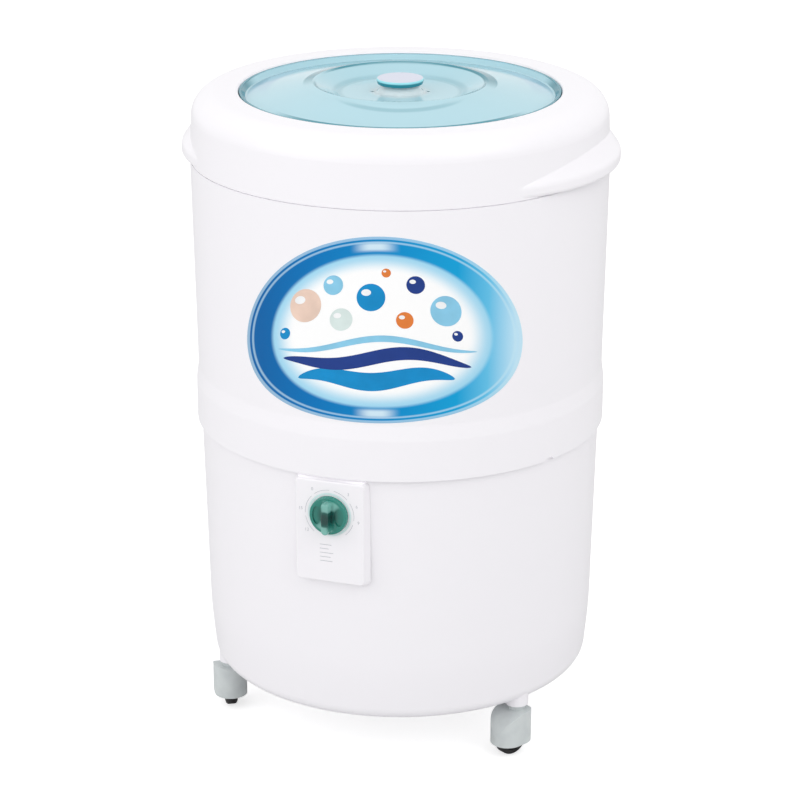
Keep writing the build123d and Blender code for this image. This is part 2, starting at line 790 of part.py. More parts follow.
knob_back_y = panel_face_y + knob_face_gap
with BuildPart() as timer_shaft:
    with BuildSketch(Plane.XZ.offset(timer_face_y - 20.0)):
        with Locations((0, knob_z)):
            Circle(timer_shaft_radius)
    extrude(amount=knob_back_y + 9.0 - timer_face_y + 20.0)
    # flat that drives the knob
    with BuildSketch(Plane.XZ.offset(knob_back_y)):
        with Locations((0, knob_z + timer_shaft_radius + 2.0)):
            Rectangle(10.0, 6.0)
    extrude(amount=10.0, mode=Mode.SUBTRACT)
timer_shaft.part.label = "timer_shaft"
export_step(timer_shaft.part, "parts/timer_shaft.step")

with BuildPart() as timer_screws:
    with BuildSketch(knob_plane.offset(-1.6)):
        with GridLocations(timer_screw_spacing, 1.0, 2, 1):
            Circle(3.2)
    extrude(amount=1.5)
    with BuildSketch(knob_plane.offset(-1.6)):
        with GridLocations(timer_screw_spacing, 1.0, 2, 1):
            Circle(small_screw_radius)
    extrude(amount=-8.0)
timer_screws.part.label = "timer_screws"
export_step(timer_screws.part, "parts/timer_screws.step")

# Timer knob: round skirt with an upright grip bar between two dished flanks
knob_base = knob_plane.offset(knob_face_gap)
grip_height = knob_height - knob_skirt
with BuildPart() as timer_knob:
    with BuildSketch(knob_base):
        Circle(knob_radius)
    extrude(amount=knob_skirt, taper=5.0)
    fillet(timer_knob.faces().sort_by(Axis.Y)[0].edges(), radius=1.4)
    with BuildSketch(knob_base.offset(knob_skirt - 1.0)):
        SlotOverall(2 * knob_radius - 5.0, knob_grip_width, rotation=90)
    extrude(amount=grip_height + 1.0, taper=4.0)
    fillet(timer_knob.faces().sort_by(Axis.Y)[0].edges(), radius=1.4)
    # dished flanks either side of the bar
    with BuildSketch(knob_base.offset(knob_skirt)):
        with Locations((-11.6, 0), (11.6, 0)):
            Ellipse(4.6, 9.5)
    extrude(amount=-1.6, mode=Mode.SUBTRACT)
    with BuildSketch(knob_base.offset(-1.0)):
        Circle(timer_shaft_radius + 0.05)
        with Locations((0, timer_shaft_radius + 2.05)):
            Rectangle(10.0, 6.0, mode=Mode.SUBTRACT)
    extrude(amount=10.3, mode=Mode.SUBTRACT)
timer_knob.part.label = "timer_knob"
export_step(timer_knob.part, "parts/timer_knob.step")

# Pulsator: low dome with curved blades, on a splined hub
blade_hub_z = pulsator_cap_z + blade_rise_at_hub
with BuildPart() as blade_envelope:
    with BuildSketch(Plane.XZ):
        with BuildLine():
            FilletPolyline(
                (8.0, pulsator_mid_z - 8.0),
                (8.0, blade_hub_z),
                (blade_inner_radius + 12.0, blade_hub_z),
                (blade_outer_radius, pulsator_rim_z + blade_rise_at_rim),
                (blade_outer_radius, pulsator_rim_z + 5.5),
                radius=[2.0, 30.0, 8.0],
            )
            Line((blade_outer_radius, pulsator_rim_z + 5.5), (8.0, pulsator_mid_z - 8.0))
        make_face()
    revolve(axis=Axis.Z)

blade_tip = blade_outer_radius + 4.0
with BuildSketch() as blade_plan:
    with BuildLine():
        ThreePointArc((10.0, 3.0), (70.0, 15.0), (blade_tip, 2.0))
        Line((blade_tip, 2.0), (blade_tip, -4.0))
        ThreePointArc((blade_tip, -4.0), (70.0, 7.0), (10.0, -4.0))
        Line((10.0, -4.0), (10.0, 3.0))
    make_face()

with BuildPart() as pulsator_blades:
    with BuildSketch(Plane.XY.offset(pulsator_rim_z)):
        with PolarLocations(0, blade_count):
            add(blade_plan.sketch)
    extrude(amount=60.0)
    add(blade_envelope.part, mode=Mode.INTERSECT)

with BuildPart() as pulsator:
    with BuildSketch(Plane.XZ):
        with BuildLine():
            pulsator_outline = FilletPolyline(
                (pulsator_radius, pulsator_rim_z),
                (pulsator_radius - 0.5, pulsator_rim_z + pulsator_rim_rise),
                (pulsator_mid_radius, pulsator_mid_z),
                (pulsator_cap_radius, pulsator_cap_z),
                (7.0, pulsator_top_z),
                (0, pulsator_top_z),
                radius=[5.0, 60.0, 14.0, 4.0],
            )
            offset(pulsator_outline, amount=pulsator_wall, side=Side.LEFT)
        make_face()
    revolve(axis=Axis.Z)
    add(pulsator_blades.part)
    with BuildSketch(Plane.XY.offset(well_floor_z + gasket_thickness + sleeve_flange_thickness + 0.8)):
        Circle(13.0)
    extrude(amount=pulsator_cap_z + 2.0 - well_floor_z - gasket_thickness - sleeve_flange_thickness - 0.8)
    with BuildSketch(Plane.XY.offset(well_floor_z)):
        Circle(shaft_top_radius + 0.05)
        with Locations((0, 7.5), (0, -7.5)):
            Rectangle(14.0, 6.0, mode=Mode.SUBTRACT)
    extrude(amount=shaft_top_z + 0.3 - well_floor_z, mode=Mode.SUBTRACT)
    with BuildSketch(Plane.XY.offset(well_floor_z)):
        Circle(2.6)
    extrude(amount=60.0, mode=Mode.SUBTRACT)
    with BuildSketch(Plane.XY.offset(pulsator_top_z - 5.0)):
        Circle(6.0)
    extrude(amount=20.0, mode=Mode.SUBTRACT)
    with BuildSketch(Plane.XY.offset(pulsator_rim_z - 1.0)):
        with PolarLocations(pulsator_hole_circle, pulsator_hole_count, start_angle=22.0):
            Circle(pulsator_hole_radius)
    extrude(amount=30.0, mode=Mode.SUBTRACT)
pulsator.part.label = "pulsator"
export_step(pulsator.part, "parts/pulsator.step")

with BuildPart() as pulsator_screw:
    with BuildSketch(Plane.XY.offset(pulsator_top_z - 5.0)):
        Circle(5.4)
        RegularPolygon(2.4, 6, major_radius=False, mode=Mode.SUBTRACT)
    extrude(amount=3.6)
    with BuildSketch(Plane.XY.offset(pulsator_top_z - 5.0)):
        Circle(5.4)
    extrude(amount=1.0)
    with BuildSketch(Plane.XY.offset(shaft_top_z - 12.0)):
        Circle(2.4)
    extrude(amount=pulsator_top_z - 5.0 - shaft_top_z + 12.0)
pulsator_screw.part.label = "pulsator_screw"
export_step(pulsator_screw.part, "parts/pulsator_screw.step")

# Pulsator shaft: flats at the top for the pulsator, shoulder and thread at the bottom for the pulley
pulley_top_z = pulley_bottom_z + pulley_width
sleeve_top_z = well_floor_z + gasket_thickness + sleeve_flange_thickness
flats_z = sleeve_top_z + 0.5
with BuildPart() as pulsator_shaft:
    with BuildSketch(Plane.XY.offset(pulley_top_z)):
        Circle(shaft_radius)
    extrude(amount=flats_z - pulley_top_z)
    with BuildSketch(Plane.XY.offset(flats_z)):
        Circle(shaft_top_radius)
        with Locations((0, 7.5), (0, -7.5)):
            Rectangle(14.0, 6.1, mode=Mode.SUBTRACT)
    extrude(amount=shaft_top_z - flats_z)
    with BuildSketch(Plane.XY.offset(shaft_bottom_z)):
        Circle(shaft_nose_radius)
    extrude(amount=pulley_top_z - shaft_bottom_z)
    chamfer(pulsator_shaft.edges().group_by(Axis.Z)[0], length=0.8)
    with BuildSketch(Plane.XY.offset(shaft_top_z - 13.0)):
        Circle(2.45)
    extrude(amount=14.0, mode=Mode.SUBTRACT)
    # groove for the circlip under the lower bush
    with BuildSketch(Plane.XY.offset(sleeve_bottom_z - 1.6)):
        Circle(shaft_radius + 1.0)
        Circle(shaft_radius - 0.7, mode=Mode.SUBTRACT)
    extrude(amount=1.4, mode=Mode.SUBTRACT)
pulsator_shaft.part.label = "pulsator_shaft"
export_step(pulsator_shaft.part, "parts/pulsator_shaft.step")

with BuildPart() as shaft_circlip:
    with BuildSketch(Plane.XY.offset(sleeve_bottom_z - 1.5)):
        Circle(shaft_radius + 3.2)
        Circle(shaft_radius - 0.6, mode=Mode.SUBTRACT)
        with Locations((0, shaft_radius + 2.0)):
            Rectangle(4.0, 8.0, mode=Mode.SUBTRACT)
    extrude(amount=1.2)
shaft_circlip.part.label = "shaft_circlip"
export_step(shaft_circlip.part, "parts/shaft_circlip.step")

# Bearing housing: flanged sleeve clamped through the tub and the drive plate
bush_bottoms = (sleeve_bottom_z + 2.0, sleeve_top_z - seal_height - 2.0 - bush_length)
with BuildPart() as bearing_housing:
    with BuildSketch(Plane.XY.offset(sleeve_bottom_z)):
        Circle(sleeve_radius)
        Circle(bush_outer_radius, mode=Mode.SUBTRACT)
    extrude(amount=sleeve_top_z - sleeve_bottom_z)
    with BuildSketch(Plane.XY.offset(sleeve_top_z - sleeve_flange_thickness)):
        Circle(sleeve_flange_radius)
        Circle(bush_outer_radius, mode=Mode.SUBTRACT)
    extrude(amount=sleeve_flange_thickness)
    fillet(
        bearing_housing.edges().filter_by(GeomType.CIRCLE).group_by(Axis.Z)[-1].sort_by(SortBy.RADIUS)[-1],
        radius=2.0,
    )
    with BuildSketch(Plane.XY.offset(sleeve_top_z - seal_height)):
        Circle(seal_radius)
    extrude(amount=seal_height, mode=Mode.SUBTRACT)
    with BuildSketch(Plane.XY.offset(sleeve_bottom_z)):
        Circle(bush_outer_radius + 1.0)
        Circle(shaft_radius + 0.8, mode=Mode.SUBTRACT)
    extrude(amount=2.0)
bearing_housing.part.label = "bearing_housing"
export_step(bearing_housing.part, "parts/bearing_housing.step")

with BuildPart() as shaft_bushes:
    for bottom in bush_bottoms:
        with BuildSketch(Plane.XY.offset(bottom)):
            Circle(bush_outer_radius - 0.03)
            Circle(shaft_radius + running_gap, mode=Mode.SUBTRACT)
        extrude(amount=bush_length)
shaft_bushes.part.label = "shaft_bushes"
export_step(shaft_bushes.part, "parts/shaft_bushes.step")

with BuildPart() as shaft_seal:
    with BuildSketch(Plane.XY.offset(sleeve_top_z - seal_height)):
        Circle(seal_radius - 0.05)
        Circle(shaft_radius + running_gap, mode=Mode.SUBTRACT)
    extrude(amount=seal_height - 0.5)
    with BuildSketch(Plane.XY.offset(sleeve_top_z - seal_height + 2.0)):
        Circle(seal_radius - 3.0)
        Circle(shaft_radius + 2.0, mode=Mode.SUBTRACT)
    extrude(amount=seal_height, mode=Mode.SUBTRACT)
shaft_seal.part.label = "shaft_seal"
export_step(shaft_seal.part, "parts/shaft_seal.step")

with BuildPart() as housing_gasket:
    with BuildSketch(Plane.XY.offset(well_floor_z)):
        Circle(sleeve_flange_radius - 1.0)
        Circle(sleeve_radius + slip_gap, mode=Mode.SUBTRACT)
    extrude(amount=gasket_thickness)
housing_gasket.part.label = "housing_gasket"
export_step(housing_gasket.part, "parts/housing_gasket.step")

plate_under_z = plate_top_z - plate_thickness
with BuildPart() as housing_nut:
    with BuildSketch(Plane.XY.offset(plate_under_z - housing_nut_thickness)):
        RegularPolygon(housing_nut_across_flats / 2, 6, major_radius=False)
        Circle(sleeve_radius + slip_gap, mode=Mode.SUBTRACT)
    extrude(amount=housing_nut_thickness)
    chamfer(housing_nut.edges().filter_by(GeomType.LINE).group_by(Axis.Z)[0], length=1.2)
housing_nut.part.label = "housing_nut"
export_step(housing_nut.part, "parts/housing_nut.step")

# Drive plate: folded steel sheet under the tub
mount_angles = (45, 135, 225, 315)
mount_points = [
    (motor_offset + mount_circle * cos(radians(a)), mount_circle * sin(radians(a))) for a in mount_angles
]
plate_centre_x = (plate_left + plate_right) / 2
clamp_foot_x = capacitor_x - capacitor_radius - clamp_thickness - 9.0
with BuildPart() as drive_plate:
    with BuildSketch(Plane.XY.offset(plate_under_z - plate_flange)):
        with Locations((plate_centre_x, 0)):
            RectangleRounded(plate_right - plate_left, 2 * plate_half_width, plate_corner)
    extrude(amount=plate_flange + plate_thickness)
    with BuildSketch(Plane.XY.offset(plate_under_z - plate_flange)):
        with Locations((plate_centre_x, 0)):
            Rectangle(plate_right - plate_left + 10.0, 2 * (plate_half_width - plate_thickness))
    extrude(amount=plate_flange, mode=Mode.SUBTRACT)
    with BuildSketch(Plane.XY.offset(plate_under_z)):
        Circle(sleeve_radius + slip_gap)
        with Locations(*pillar_points):
            Circle(plate_screw_radius + 0.5)
        with Locations(*mount_points):
            SlotOverall(14.0, 2 * mount_bolt_radius + 1.0)
        with Locations((motor_offset, 0)):
            Circle(20.0)
        with Locations((clamp_foot_x, 0)):
            Circle(2.1)
        with Locations((-60.0, 45.0), (-60.0, -45.0), (20.0, 50.0), (20.0, -50.0)):
            SlotOverall(50.0, 20.0)
    extrude(amount=plate_thickness, mode=Mode.SUBTRACT)
drive_plate.part.label = "drive_plate"
export_step(drive_plate.part, "parts/drive_plate.step")

with BuildPart() as plate_screws:
    with BuildSketch(Plane.XY.offset(plate_under_z - hex_head_height)):
        with Locations(*pillar_points):
            RegularPolygon(hex_head_half, 6, major_radius=False)
    extrude(amount=hex_head_height)
    with BuildSketch(Plane.XY.offset(plate_under_z)):
        with Locations(*pillar_points):
            Circle(plate_screw_radius)
    extrude(amount=plate_thickness + plate_screw_bite)
plate_screws.part.label = "plate_screws"
export_step(plate_screws.part, "parts/plate_screws.step")

# Pulleys and belt: trapezoid belt in matching grooves, a narrow gap all round
belt_mid_z = pulley_bottom_z + pulley_width / 2
flank_slope = (belt_outer_width - belt_inner_width) / 2 / belt_height
belt_gap = 0.35


def pulley_profile(pitch_radius, bore_radius):
    """Right half of a V-belt pulley's section, in the plane of its axis."""
    rim = pitch_radius + rim_lip
    root = rim - groove_depth
    outer = pitch_radius + belt_height / 2
    half_rim = belt_outer_width / 2 + belt_gap + (rim - outer) * flank_slope
    half_root = half_rim - groove_depth * flank_slope
    with BuildSketch(Plane.XZ.offset(0)) as profile:
        with BuildLine():
            Polyline(
                (bore_radius, belt_mid_z - pulley_width / 2),
                (rim, belt_mid_z - pulley_width / 2),
                (rim, belt_mid_z - half_rim),
                (root, belt_mid_z - half_root),
                (root, belt_mid_z + half_root),
                (rim, belt_mid_z + half_rim),
                (rim, belt_mid_z + pulley_width / 2),
                (bore_radius, belt_mid_z + pulley_width / 2),
                (bore_radius, belt_mid_z - pulley_width / 2),
            )
        make_face()
    return profile.sketch


def window_corner(radius, side):
    """Corner of a window between two spokes, on the given side of its middle."""
    angle = radians(side * window_half)
    return (radius * cos(angle), radius * sin(angle))


driven_root = driven_pitch_radius + rim_lip - groove_depth
window_half = 180.0 / spoke_count - 8.0
window_inner = 23.0
window_outer = driven_root - 10.0
with BuildSketch() as pulley_window:
    with BuildLine():
        CenterArc((0, 0), window_inner, -window_half, 2 * window_half)
        CenterArc((0, 0), window_outer, -window_half, 2 * window_half)
        Line(window_corner(window_inner, 1), window_corner(window_outer, 1))
        Line(window_corner(window_inner, -1), window_corner(window_outer, -1))
    make_face()

with BuildPart() as driven_pulley:
    add(pulley_profile(driven_pitch_radius, shaft_nose_radius + 0.03))
    revolve(axis=Axis.Z)
    # web thinner than rim and hub, with windows between the spokes
    for height in (pulley_bottom_z, pulley_top_z - 5.0):
        with BuildSketch(Plane.XY.offset(height)):
            Circle(driven_root - 6.0)
            Circle(16.0, mode=Mode.SUBTRACT)
        extrude(amount=5.0, mode=Mode.SUBTRACT)
    with BuildSketch(Plane.XY.offset(pulley_bottom_z)):
        with PolarLocations(0, spoke_count):
            add(pulley_window.sketch)
    extrude(amount=pulley_width, mode=Mode.SUBTRACT)
driven_pulley.part.label = "driven_pulley"
export_step(driven_pulley.part, "parts/driven_pulley.step")

with BuildPart() as pulley_nut:
    with BuildSketch(Plane.XY.offset(pulley_bottom_z - 8.0)):
        RegularPolygon(8.5, 6, major_radius=False)
        Circle(shaft_nose_radius + 0.03, mode=Mode.SUBTRACT)
    extrude(amount=8.0)
pulley_nut.part.label = "pulley_nut"
export_step(pulley_nut.part, "parts/pulley_nut.step")

motor_axis = Axis((motor_offset, 0, 0), (0, 0, 1))
with BuildPart() as motor_pulley:
    add(pulley_profile(motor_pitch_radius, motor_shaft_radius + 0.03).moved(Location((motor_offset, 0, 0))))
    revolve(axis=motor_axis)
    with BuildSketch(Plane.XY.offset(pulley_top_z)):
        with Locations((motor_offset, 0)):
            Circle(12.0)
            Circle(motor_shaft_radius + 0.03, mode=Mode.SUBTRACT)
    extrude(amount=5.0)
motor_pulley.part.label = "motor_pulley"
export_step(motor_pulley.part, "parts/motor_pulley.step")

# Belt: a V section carried round both pulleys and along the runs that touch their pitch circles
wrap = asin((driven_pitch_radius - motor_pitch_radius) / motor_offset)
driven_touch = (driven_pitch_radius * sin(wrap), driven_pitch_radius * cos(wrap))
motor_touch = (motor_offset + motor_pitch_radius * sin(wrap), motor_pitch_radius * cos(wrap))
with BuildPart() as drive_belt:
    with BuildLine(Plane.XY.offset(belt_mid_z)) as belt_path:
        slack_run = Line(driven_touch, motor_touch)
        motor_wrap = ThreePointArc(
            slack_run @ 1, (motor_offset + motor_pitch_radius, 0), (motor_touch[0], -motor_touch[1])
        )
        tight_run = Line(motor_wrap @ 1, (driven_touch[0], -driven_touch[1]))
        ThreePointArc(tight_run @ 1, (-driven_pitch_radius, 0), slack_run @ 0)
    with BuildSketch(Plane(origin=slack_run @ 0, x_dir=(sin(wrap), cos(wrap), 0), z_dir=slack_run % 0)):
        with BuildLine():
            Polyline(
                (-belt_height / 2, -belt_inner_width / 2),
                (belt_height / 2, -belt_outer_width / 2),
                (belt_height / 2, belt_outer_width / 2),
                (-belt_height / 2, belt_inner_width / 2),
                close=True,
            )
        make_face()
    sweep(path=belt_path.wire())
drive_belt.part.label = "drive_belt"
export_step(drive_belt.part, "parts/drive_belt.step")

# Motor: laminated stator with windings between two end shields, squirrel-cage rotor
shield_top_z = stator_top_z + shield_height
shield_bottom_z = stator_bottom_z - shield_height
motor_centre = (motor_offset, 0)
bolt_angles = (0, 90, 180, 270)
bolt_points = [
    (motor_offset + motor_bolt_circle * cos(radians(a)), motor_bolt_circle * sin(radians(a))) for a in bolt_angles
]

with BuildPart() as motor_stator:
    with BuildSketch(Plane.XY.offset(stator_bottom_z)):
        with Locations(motor_centre):
            Circle(stator_radius)
            Circle(stator_bore_radius, mode=Mode.SUBTRACT)
        with Locations(*bolt_points):
            Circle(motor_bolt_radius + 0.2, mode=Mode.SUBTRACT)
    extrude(amount=stator_top_z - stator_bottom_z)
motor_stator.part.label = "motor_stator"
export_step(motor_stator.part, "parts/motor_stator.step")

with BuildPart() as motor_windings:
    for height in (stator_top_z, stator_bottom_z - winding_height):
        with BuildSketch(Plane.XY.offset(height)):
            with Locations(motor_centre):
                Circle(winding_outer_radius)
                Circle(winding_inner_radius, mode=Mode.SUBTRACT)
        extrude(amount=winding_height)
    fillet(motor_windings.edges().group_by(Axis.Z)[-1], radius=3.0)
    fillet(motor_windings.edges().group_by(Axis.Z)[0], radius=3.0)
motor_windings.part.label = "motor_windings"
export_step(motor_windings.part, "parts/motor_windings.step")


def end_shield_profile(open_z, closed_z):
    """Section of a cup-shaped end shield about the motor's axis, with its bush seat."""
    step = 1 if closed_z > open_z else -1
    bush_end_z = closed_z - step * (2.0 + motor_bush_length)
    points = [
        (stator_radius, open_z),
        (stator_radius, closed_z - step * 2.0),
        (stator_radius - 2.0, closed_z),
        (motor_shaft_radius + 1.0, closed_z),
        (motor_shaft_radius + 1.0, closed_z - step * 2.0),
        (motor_bush_radius, closed_z - step * 2.0),
        (motor_bush_radius, bush_end_z),
        (motor_bush_radius + 3.0, bush_end_z),
        (motor_bush_radius + 3.0, closed_z - step * shield_wall),
        (stator_radius - shield_wall, closed_z - step * shield_wall),
        (stator_radius - shield_wall, open_z),
    ]
    with BuildSketch(Plane.XZ) as profile:
        with BuildLine():
            Polyline(*[(motor_offset + r, z) for r, z in points], close=True)
        make_face()
    return profile.sketch


with BuildPart() as motor_top_shield:
    add(end_shield_profile(stator_top_z, shield_top_z))
    revolve(axis=motor_axis)
    # arms that carry the motor, and vents between them
    with BuildSketch(Plane.XY.offset(shield_top_z - mount_arm_thickness)):
        with Locations(*mount_points):
            Circle(grommet_radius)
        for a in (45, 135):
            with Locations(Location((motor_offset, 0, 0), (0, 0, a))):
                Rectangle(2 * mount_circle, 14.0)
        with Locations(motor_centre):
            Circle(stator_radius - 12.0, mode=Mode.SUBTRACT)
    extrude(amount=mount_arm_thickness)
    with BuildSketch(Plane.XY.offset(shield_top_z - shield_height)):
        with Locations(*mount_points):
            Circle(mount_bolt_radius + 0.1)
        with Locations(*bolt_points):
            Circle(motor_bolt_radius + 0.2)
        with Locations(motor_centre):
            with PolarLocations(26.0, 8, start_angle=22.5):
                SlotOverall(16.0, 7.0)
    extrude(amount=shield_height + 1.0, mode=Mode.SUBTRACT)
motor_top_shield.part.label = "motor_top_shield"
export_step(motor_top_shield.part, "parts/motor_top_shield.step")

with BuildPart() as motor_bottom_shield:
    add(end_shield_profile(stator_bottom_z, shield_bottom_z))
    revolve(axis=motor_axis)
    with BuildSketch(Plane.XY.offset(shield_bottom_z - 1.0)):
        with Locations(*bolt_points):
            Circle(motor_bolt_radius + 0.2)
        with Locations(motor_centre):
            with PolarLocations(26.0, 8, start_angle=22.5):
                SlotOverall(16.0, 7.0)
    extrude(amount=shield_height + 1.0, mode=Mode.SUBTRACT)
motor_bottom_shield.part.label = "motor_bottom_shield"
export_step(motor_bottom_shield.part, "parts/motor_bottom_shield.step")

with BuildPart() as motor_bushes:
    for bottom in (shield_bottom_z + 2.0, shield_top_z - 2.0 - motor_bush_length):
        with BuildSketch(Plane.XY.offset(bottom)):
            with Locations(motor_centre):
                Circle(motor_bush_radius - 0.03)
                Circle(motor_shaft_radius + running_gap, mode=Mode.SUBTRACT)
        extrude(amount=motor_bush_length)
motor_bushes.part.label = "motor_bushes"
export_step(motor_bushes.part, "parts/motor_bushes.step")

with BuildPart() as motor_through_bolts:
    with BuildSketch(Plane.XY.offset(shield_bottom_z - 3.0)):
        with Locations(*bolt_points):
            Circle(3.6)
    extrude(amount=3.0)
    with BuildSketch(Plane.XY.offset(shield_bottom_z)):
        with Locations(*bolt_points):
            Circle(motor_bolt_radius)
    extrude(amount=shield_top_z - shield_bottom_z)
motor_through_bolts.part.label = "motor_through_bolts"
export_step(motor_through_bolts.part, "parts/motor_through_bolts.step")

with BuildPart() as motor_rotor:
    with BuildSketch(Plane.XY.offset(stator_bottom_z)):
        with Locations(motor_centre):
            Circle(rotor_radius)
            Circle(motor_shaft_radius + 0.02, mode=Mode.SUBTRACT)
    extrude(amount=stator_top_z - stator_bottom_z)
    for height in (stator_top_z, stator_bottom_z - 4.0):
        with BuildSketch(Plane.XY.offset(height)):
            with Locations(motor_centre):
                Circle(rotor_radius - 1.0)
                Circle(rotor_radius - 8.0, mode=Mode.SUBTRACT)
        extrude(amount=4.0)
motor_rotor.part.label = "motor_rotor"
export_step(motor_rotor.part, "parts/motor_rotor.step")

with BuildPart() as motor_shaft:
    with BuildSketch(Plane.XY.offset(pulley_bottom_z - 2.0)):
        with Locations(motor_centre):
            Circle(motor_shaft_radius)
    extrude(amount=shield_top_z - 3.0 - pulley_bottom_z + 2.0)
    chamfer(motor_shaft.edges(), length=0.8)
motor_shaft.part.label = "motor_shaft"
export_step(motor_shaft.part, "parts/motor_shaft.step")

with BuildPart() as motor_grommets:
    with BuildSketch(Plane.XY.offset(shield_top_z)):
        with Locations(*mount_points):
            Circle(grommet_radius)
            Circle(mount_bolt_radius + 0.2, mode=Mode.SUBTRACT)
    extrude(amount=plate_under_z - shield_top_z)
motor_grommets.part.label = "motor_grommets"
export_step(motor_grommets.part, "parts/motor_grommets.step")

with BuildPart() as motor_mount_bolts:
    with BuildSketch(Plane.XY.offset(plate_top_z)):
        with Locations(*mount_points):
            RegularPolygon(hex_head_half, 6, major_radius=False)
    extrude(amount=hex_head_height)
    with BuildSketch(Plane.XY.offset(shield_top_z - mount_arm_thickness - 4.0)):
        with Locations(*mount_points):
            Circle(mount_bolt_radius)
    extrude(amount=plate_top_z - shield_top_z + mount_arm_thickness + 4.0)
motor_mount_bolts.part.label = "motor_mount_bolts"
export_step(motor_mount_bolts.part, "parts/motor_mount_bolts.step")

# Capacitor in its strap under the plate
with BuildPart() as capacitor:
    with BuildSketch(Plane.XY.offset(capacitor_top_z - capacitor_height)):
        with Locations((capacitor_x, 0)):
            Circle(capacitor_radius)
    extrude(amount=capacitor_height)
    fillet(capacitor.edges().group_by(Axis.Z)[-1], radius=2.0)
    with BuildSketch(Plane.XY.offset(capacitor_top_z - capacitor_height - 8.0)):
        with Locations((capacitor_x - 6.0, 0), (capacitor_x + 6.0, 0)):
            Rectangle(0.8, 6.3)
    extrude(amount=9.0)
capacitor.part.label = "capacitor"
export_step(capacitor.part, "parts/capacitor.step")

clamp_z = capacitor_top_z - clamp_drop
with BuildPart() as capacitor_clamp:
    with BuildSketch(Plane.XY.offset(clamp_z)):
        with Locations((capacitor_x, 0)):
            Circle(capacitor_radius + clamp_thickness)
        with Locations((clamp_foot_x + 9.5, 0)):
            Rectangle(3.0, clamp_foot_width)
        with Locations((capacitor_x, 0)):
            Circle(capacitor_radius + 0.05, mode=Mode.SUBTRACT)
    extrude(amount=clamp_height)
    with BuildSketch(Plane.XY.offset(clamp_z)):
        with Locations((clamp_foot_x + 7.5, 0)):
            Rectangle(2.0, clamp_foot_width)
    extrude(amount=plate_under_z - clamp_z)
    with BuildSketch(Plane.XY.offset(plate_under_z - clamp_thickness)):
        with Locations((clamp_foot_x, 0)):
            Rectangle(clamp_foot_length, clamp_foot_width)
            Circle(2.2, mode=Mode.SUBTRACT)
    extrude(amount=clamp_thickness)
capacitor_clamp.part.label = "capacitor_clamp"
export_step(capacitor_clamp.part, "parts/capacitor_clamp.step")

with BuildPart() as capacitor_screw:
    with BuildSketch(Plane.XY.offset(plate_under_z - clamp_thickness - 3.0)):
        with Locations((clamp_foot_x, 0)):
            RegularPolygon(3.5, 6, major_radius=False)
    extrude(amount=3.0)
    with BuildSketch(Plane.XY.offset(plate_under_z - clamp_thickness)):
        with Locations((clamp_foot_x, 0)):
            Circle(2.0)
    extrude(amount=clamp_thickness + plate_thickness + 3.0)
capacitor_screw.part.label = "capacitor_screw"
export_step(capacitor_screw.part, "parts/capacitor_screw.step")

# Drain: strainer in the well, elbow under it and the hose spigot through the wall
with BuildPart() as drain_strainer:
    with BuildSketch(Plane.XY.offset(well_floor_z - strainer_thickness)):
        with Locations((0, drain_y)):
            Circle(strainer_radius)
            with PolarLocations(8.0, 6):
                Circle(2.0, mode=Mode.SUBTRACT)
            Circle(2.0, mode=Mode.SUBTRACT)
    extrude(amount=strainer_thickness)
drain_strainer.part.label = "drain_strainer"
export_step(drain_strainer.part, "parts/drain_strainer.step")

socket_radius = drain_hole_radius + 3.0
socket_top_z = well_under_z - 1.0
socket_bottom_z = well_under_z - 12.0 - seat_gap
with BuildPart() as drain_elbow:
    with BuildLine() as drain_path:
        FilletPolyline(
            (0, drain_y, socket_bottom_z),
            (0, drain_y, drain_z),
            (0, drain_reach, drain_z),
            radius=drain_bend,
        )
    with BuildSketch(Plane.XY.offset(socket_bottom_z)):
        with Locations((0, drain_y)):
            Circle(drain_pipe_radius)
    sweep(path=drain_path.wire())
    with BuildSketch(Plane.XY.offset(socket_bottom_z - 2.5)):
        with Locations((0, drain_y)):
            Circle(socket_radius + 2.6)
    extrude(amount=socket_top_z - socket_bottom_z + 2.5)
    with BuildSketch(Plane.XY.offset(socket_bottom_z)):
        with Locations((0, drain_y)):
            Circle(socket_radius + slip_gap)
    extrude(amount=socket_top_z - socket_bottom_z, mode=Mode.SUBTRACT)
    # bead that stops the hose, behind the free end that it slides on
    with BuildSketch(Plane.XZ.offset(-(drain_reach - spigot_length - bead_width))):
        with Locations((0, drain_z)):
            Circle(drain_pipe_radius + bead_height)
    extrude(amount=-bead_width)
    with BuildSketch(Plane.XY.offset(socket_bottom_z)):
        with Locations((0, drain_y)):
            Circle(drain_pipe_radius - drain_pipe_wall)
    sweep(path=drain_path.wire(), mode=Mode.SUBTRACT)
drain_elbow.part.label = "drain_elbow"
export_step(drain_elbow.part, "parts/drain_elbow.step")


def wall_fitting_section(z, bore, neck, flange, nose):
    """Section of a rubber ring snapped into the back wall at height z, flanged on both faces."""
    wall_y = base_outer_radius(z)
    inside_y = sqrt((wall_y - wall) ** 2 - flange ** 2) - 0.5
    outside_y = wall_y + 0.6
    points = [
        (inside_y - 2.4, z + bore),
        (inside_y - 2.4, z + flange),
        (inside_y, z + flange),
        (inside_y, z + neck),
        (outside_y, z + neck),
        (outside_y, z + flange),
        (outside_y + 2.4, z + flange),
        (outside_y + 2.4 + nose, z + neck),
        (outside_y + 2.4 + nose, z + bore),
    ]
    with BuildSketch(Plane.YZ) as section:
        with BuildLine():
            Polyline(*points, close=True)
        make_face()
    return section.sketch


with BuildPart() as drain_grommet:
    add(
        wall_fitting_section(
            drain_z,
            drain_pipe_radius + slip_gap,
            drain_pipe_radius + 5.0 - slip_gap,
            drain_pipe_radius + 8.0,
            drain_grommet_nose,
        )
    )
    revolve(axis=Axis((0, 0, drain_z), (0, 1, 0)))
drain_grommet.part.label = "drain_grommet"
export_step(drain_grommet.part, "parts/drain_grommet.step")

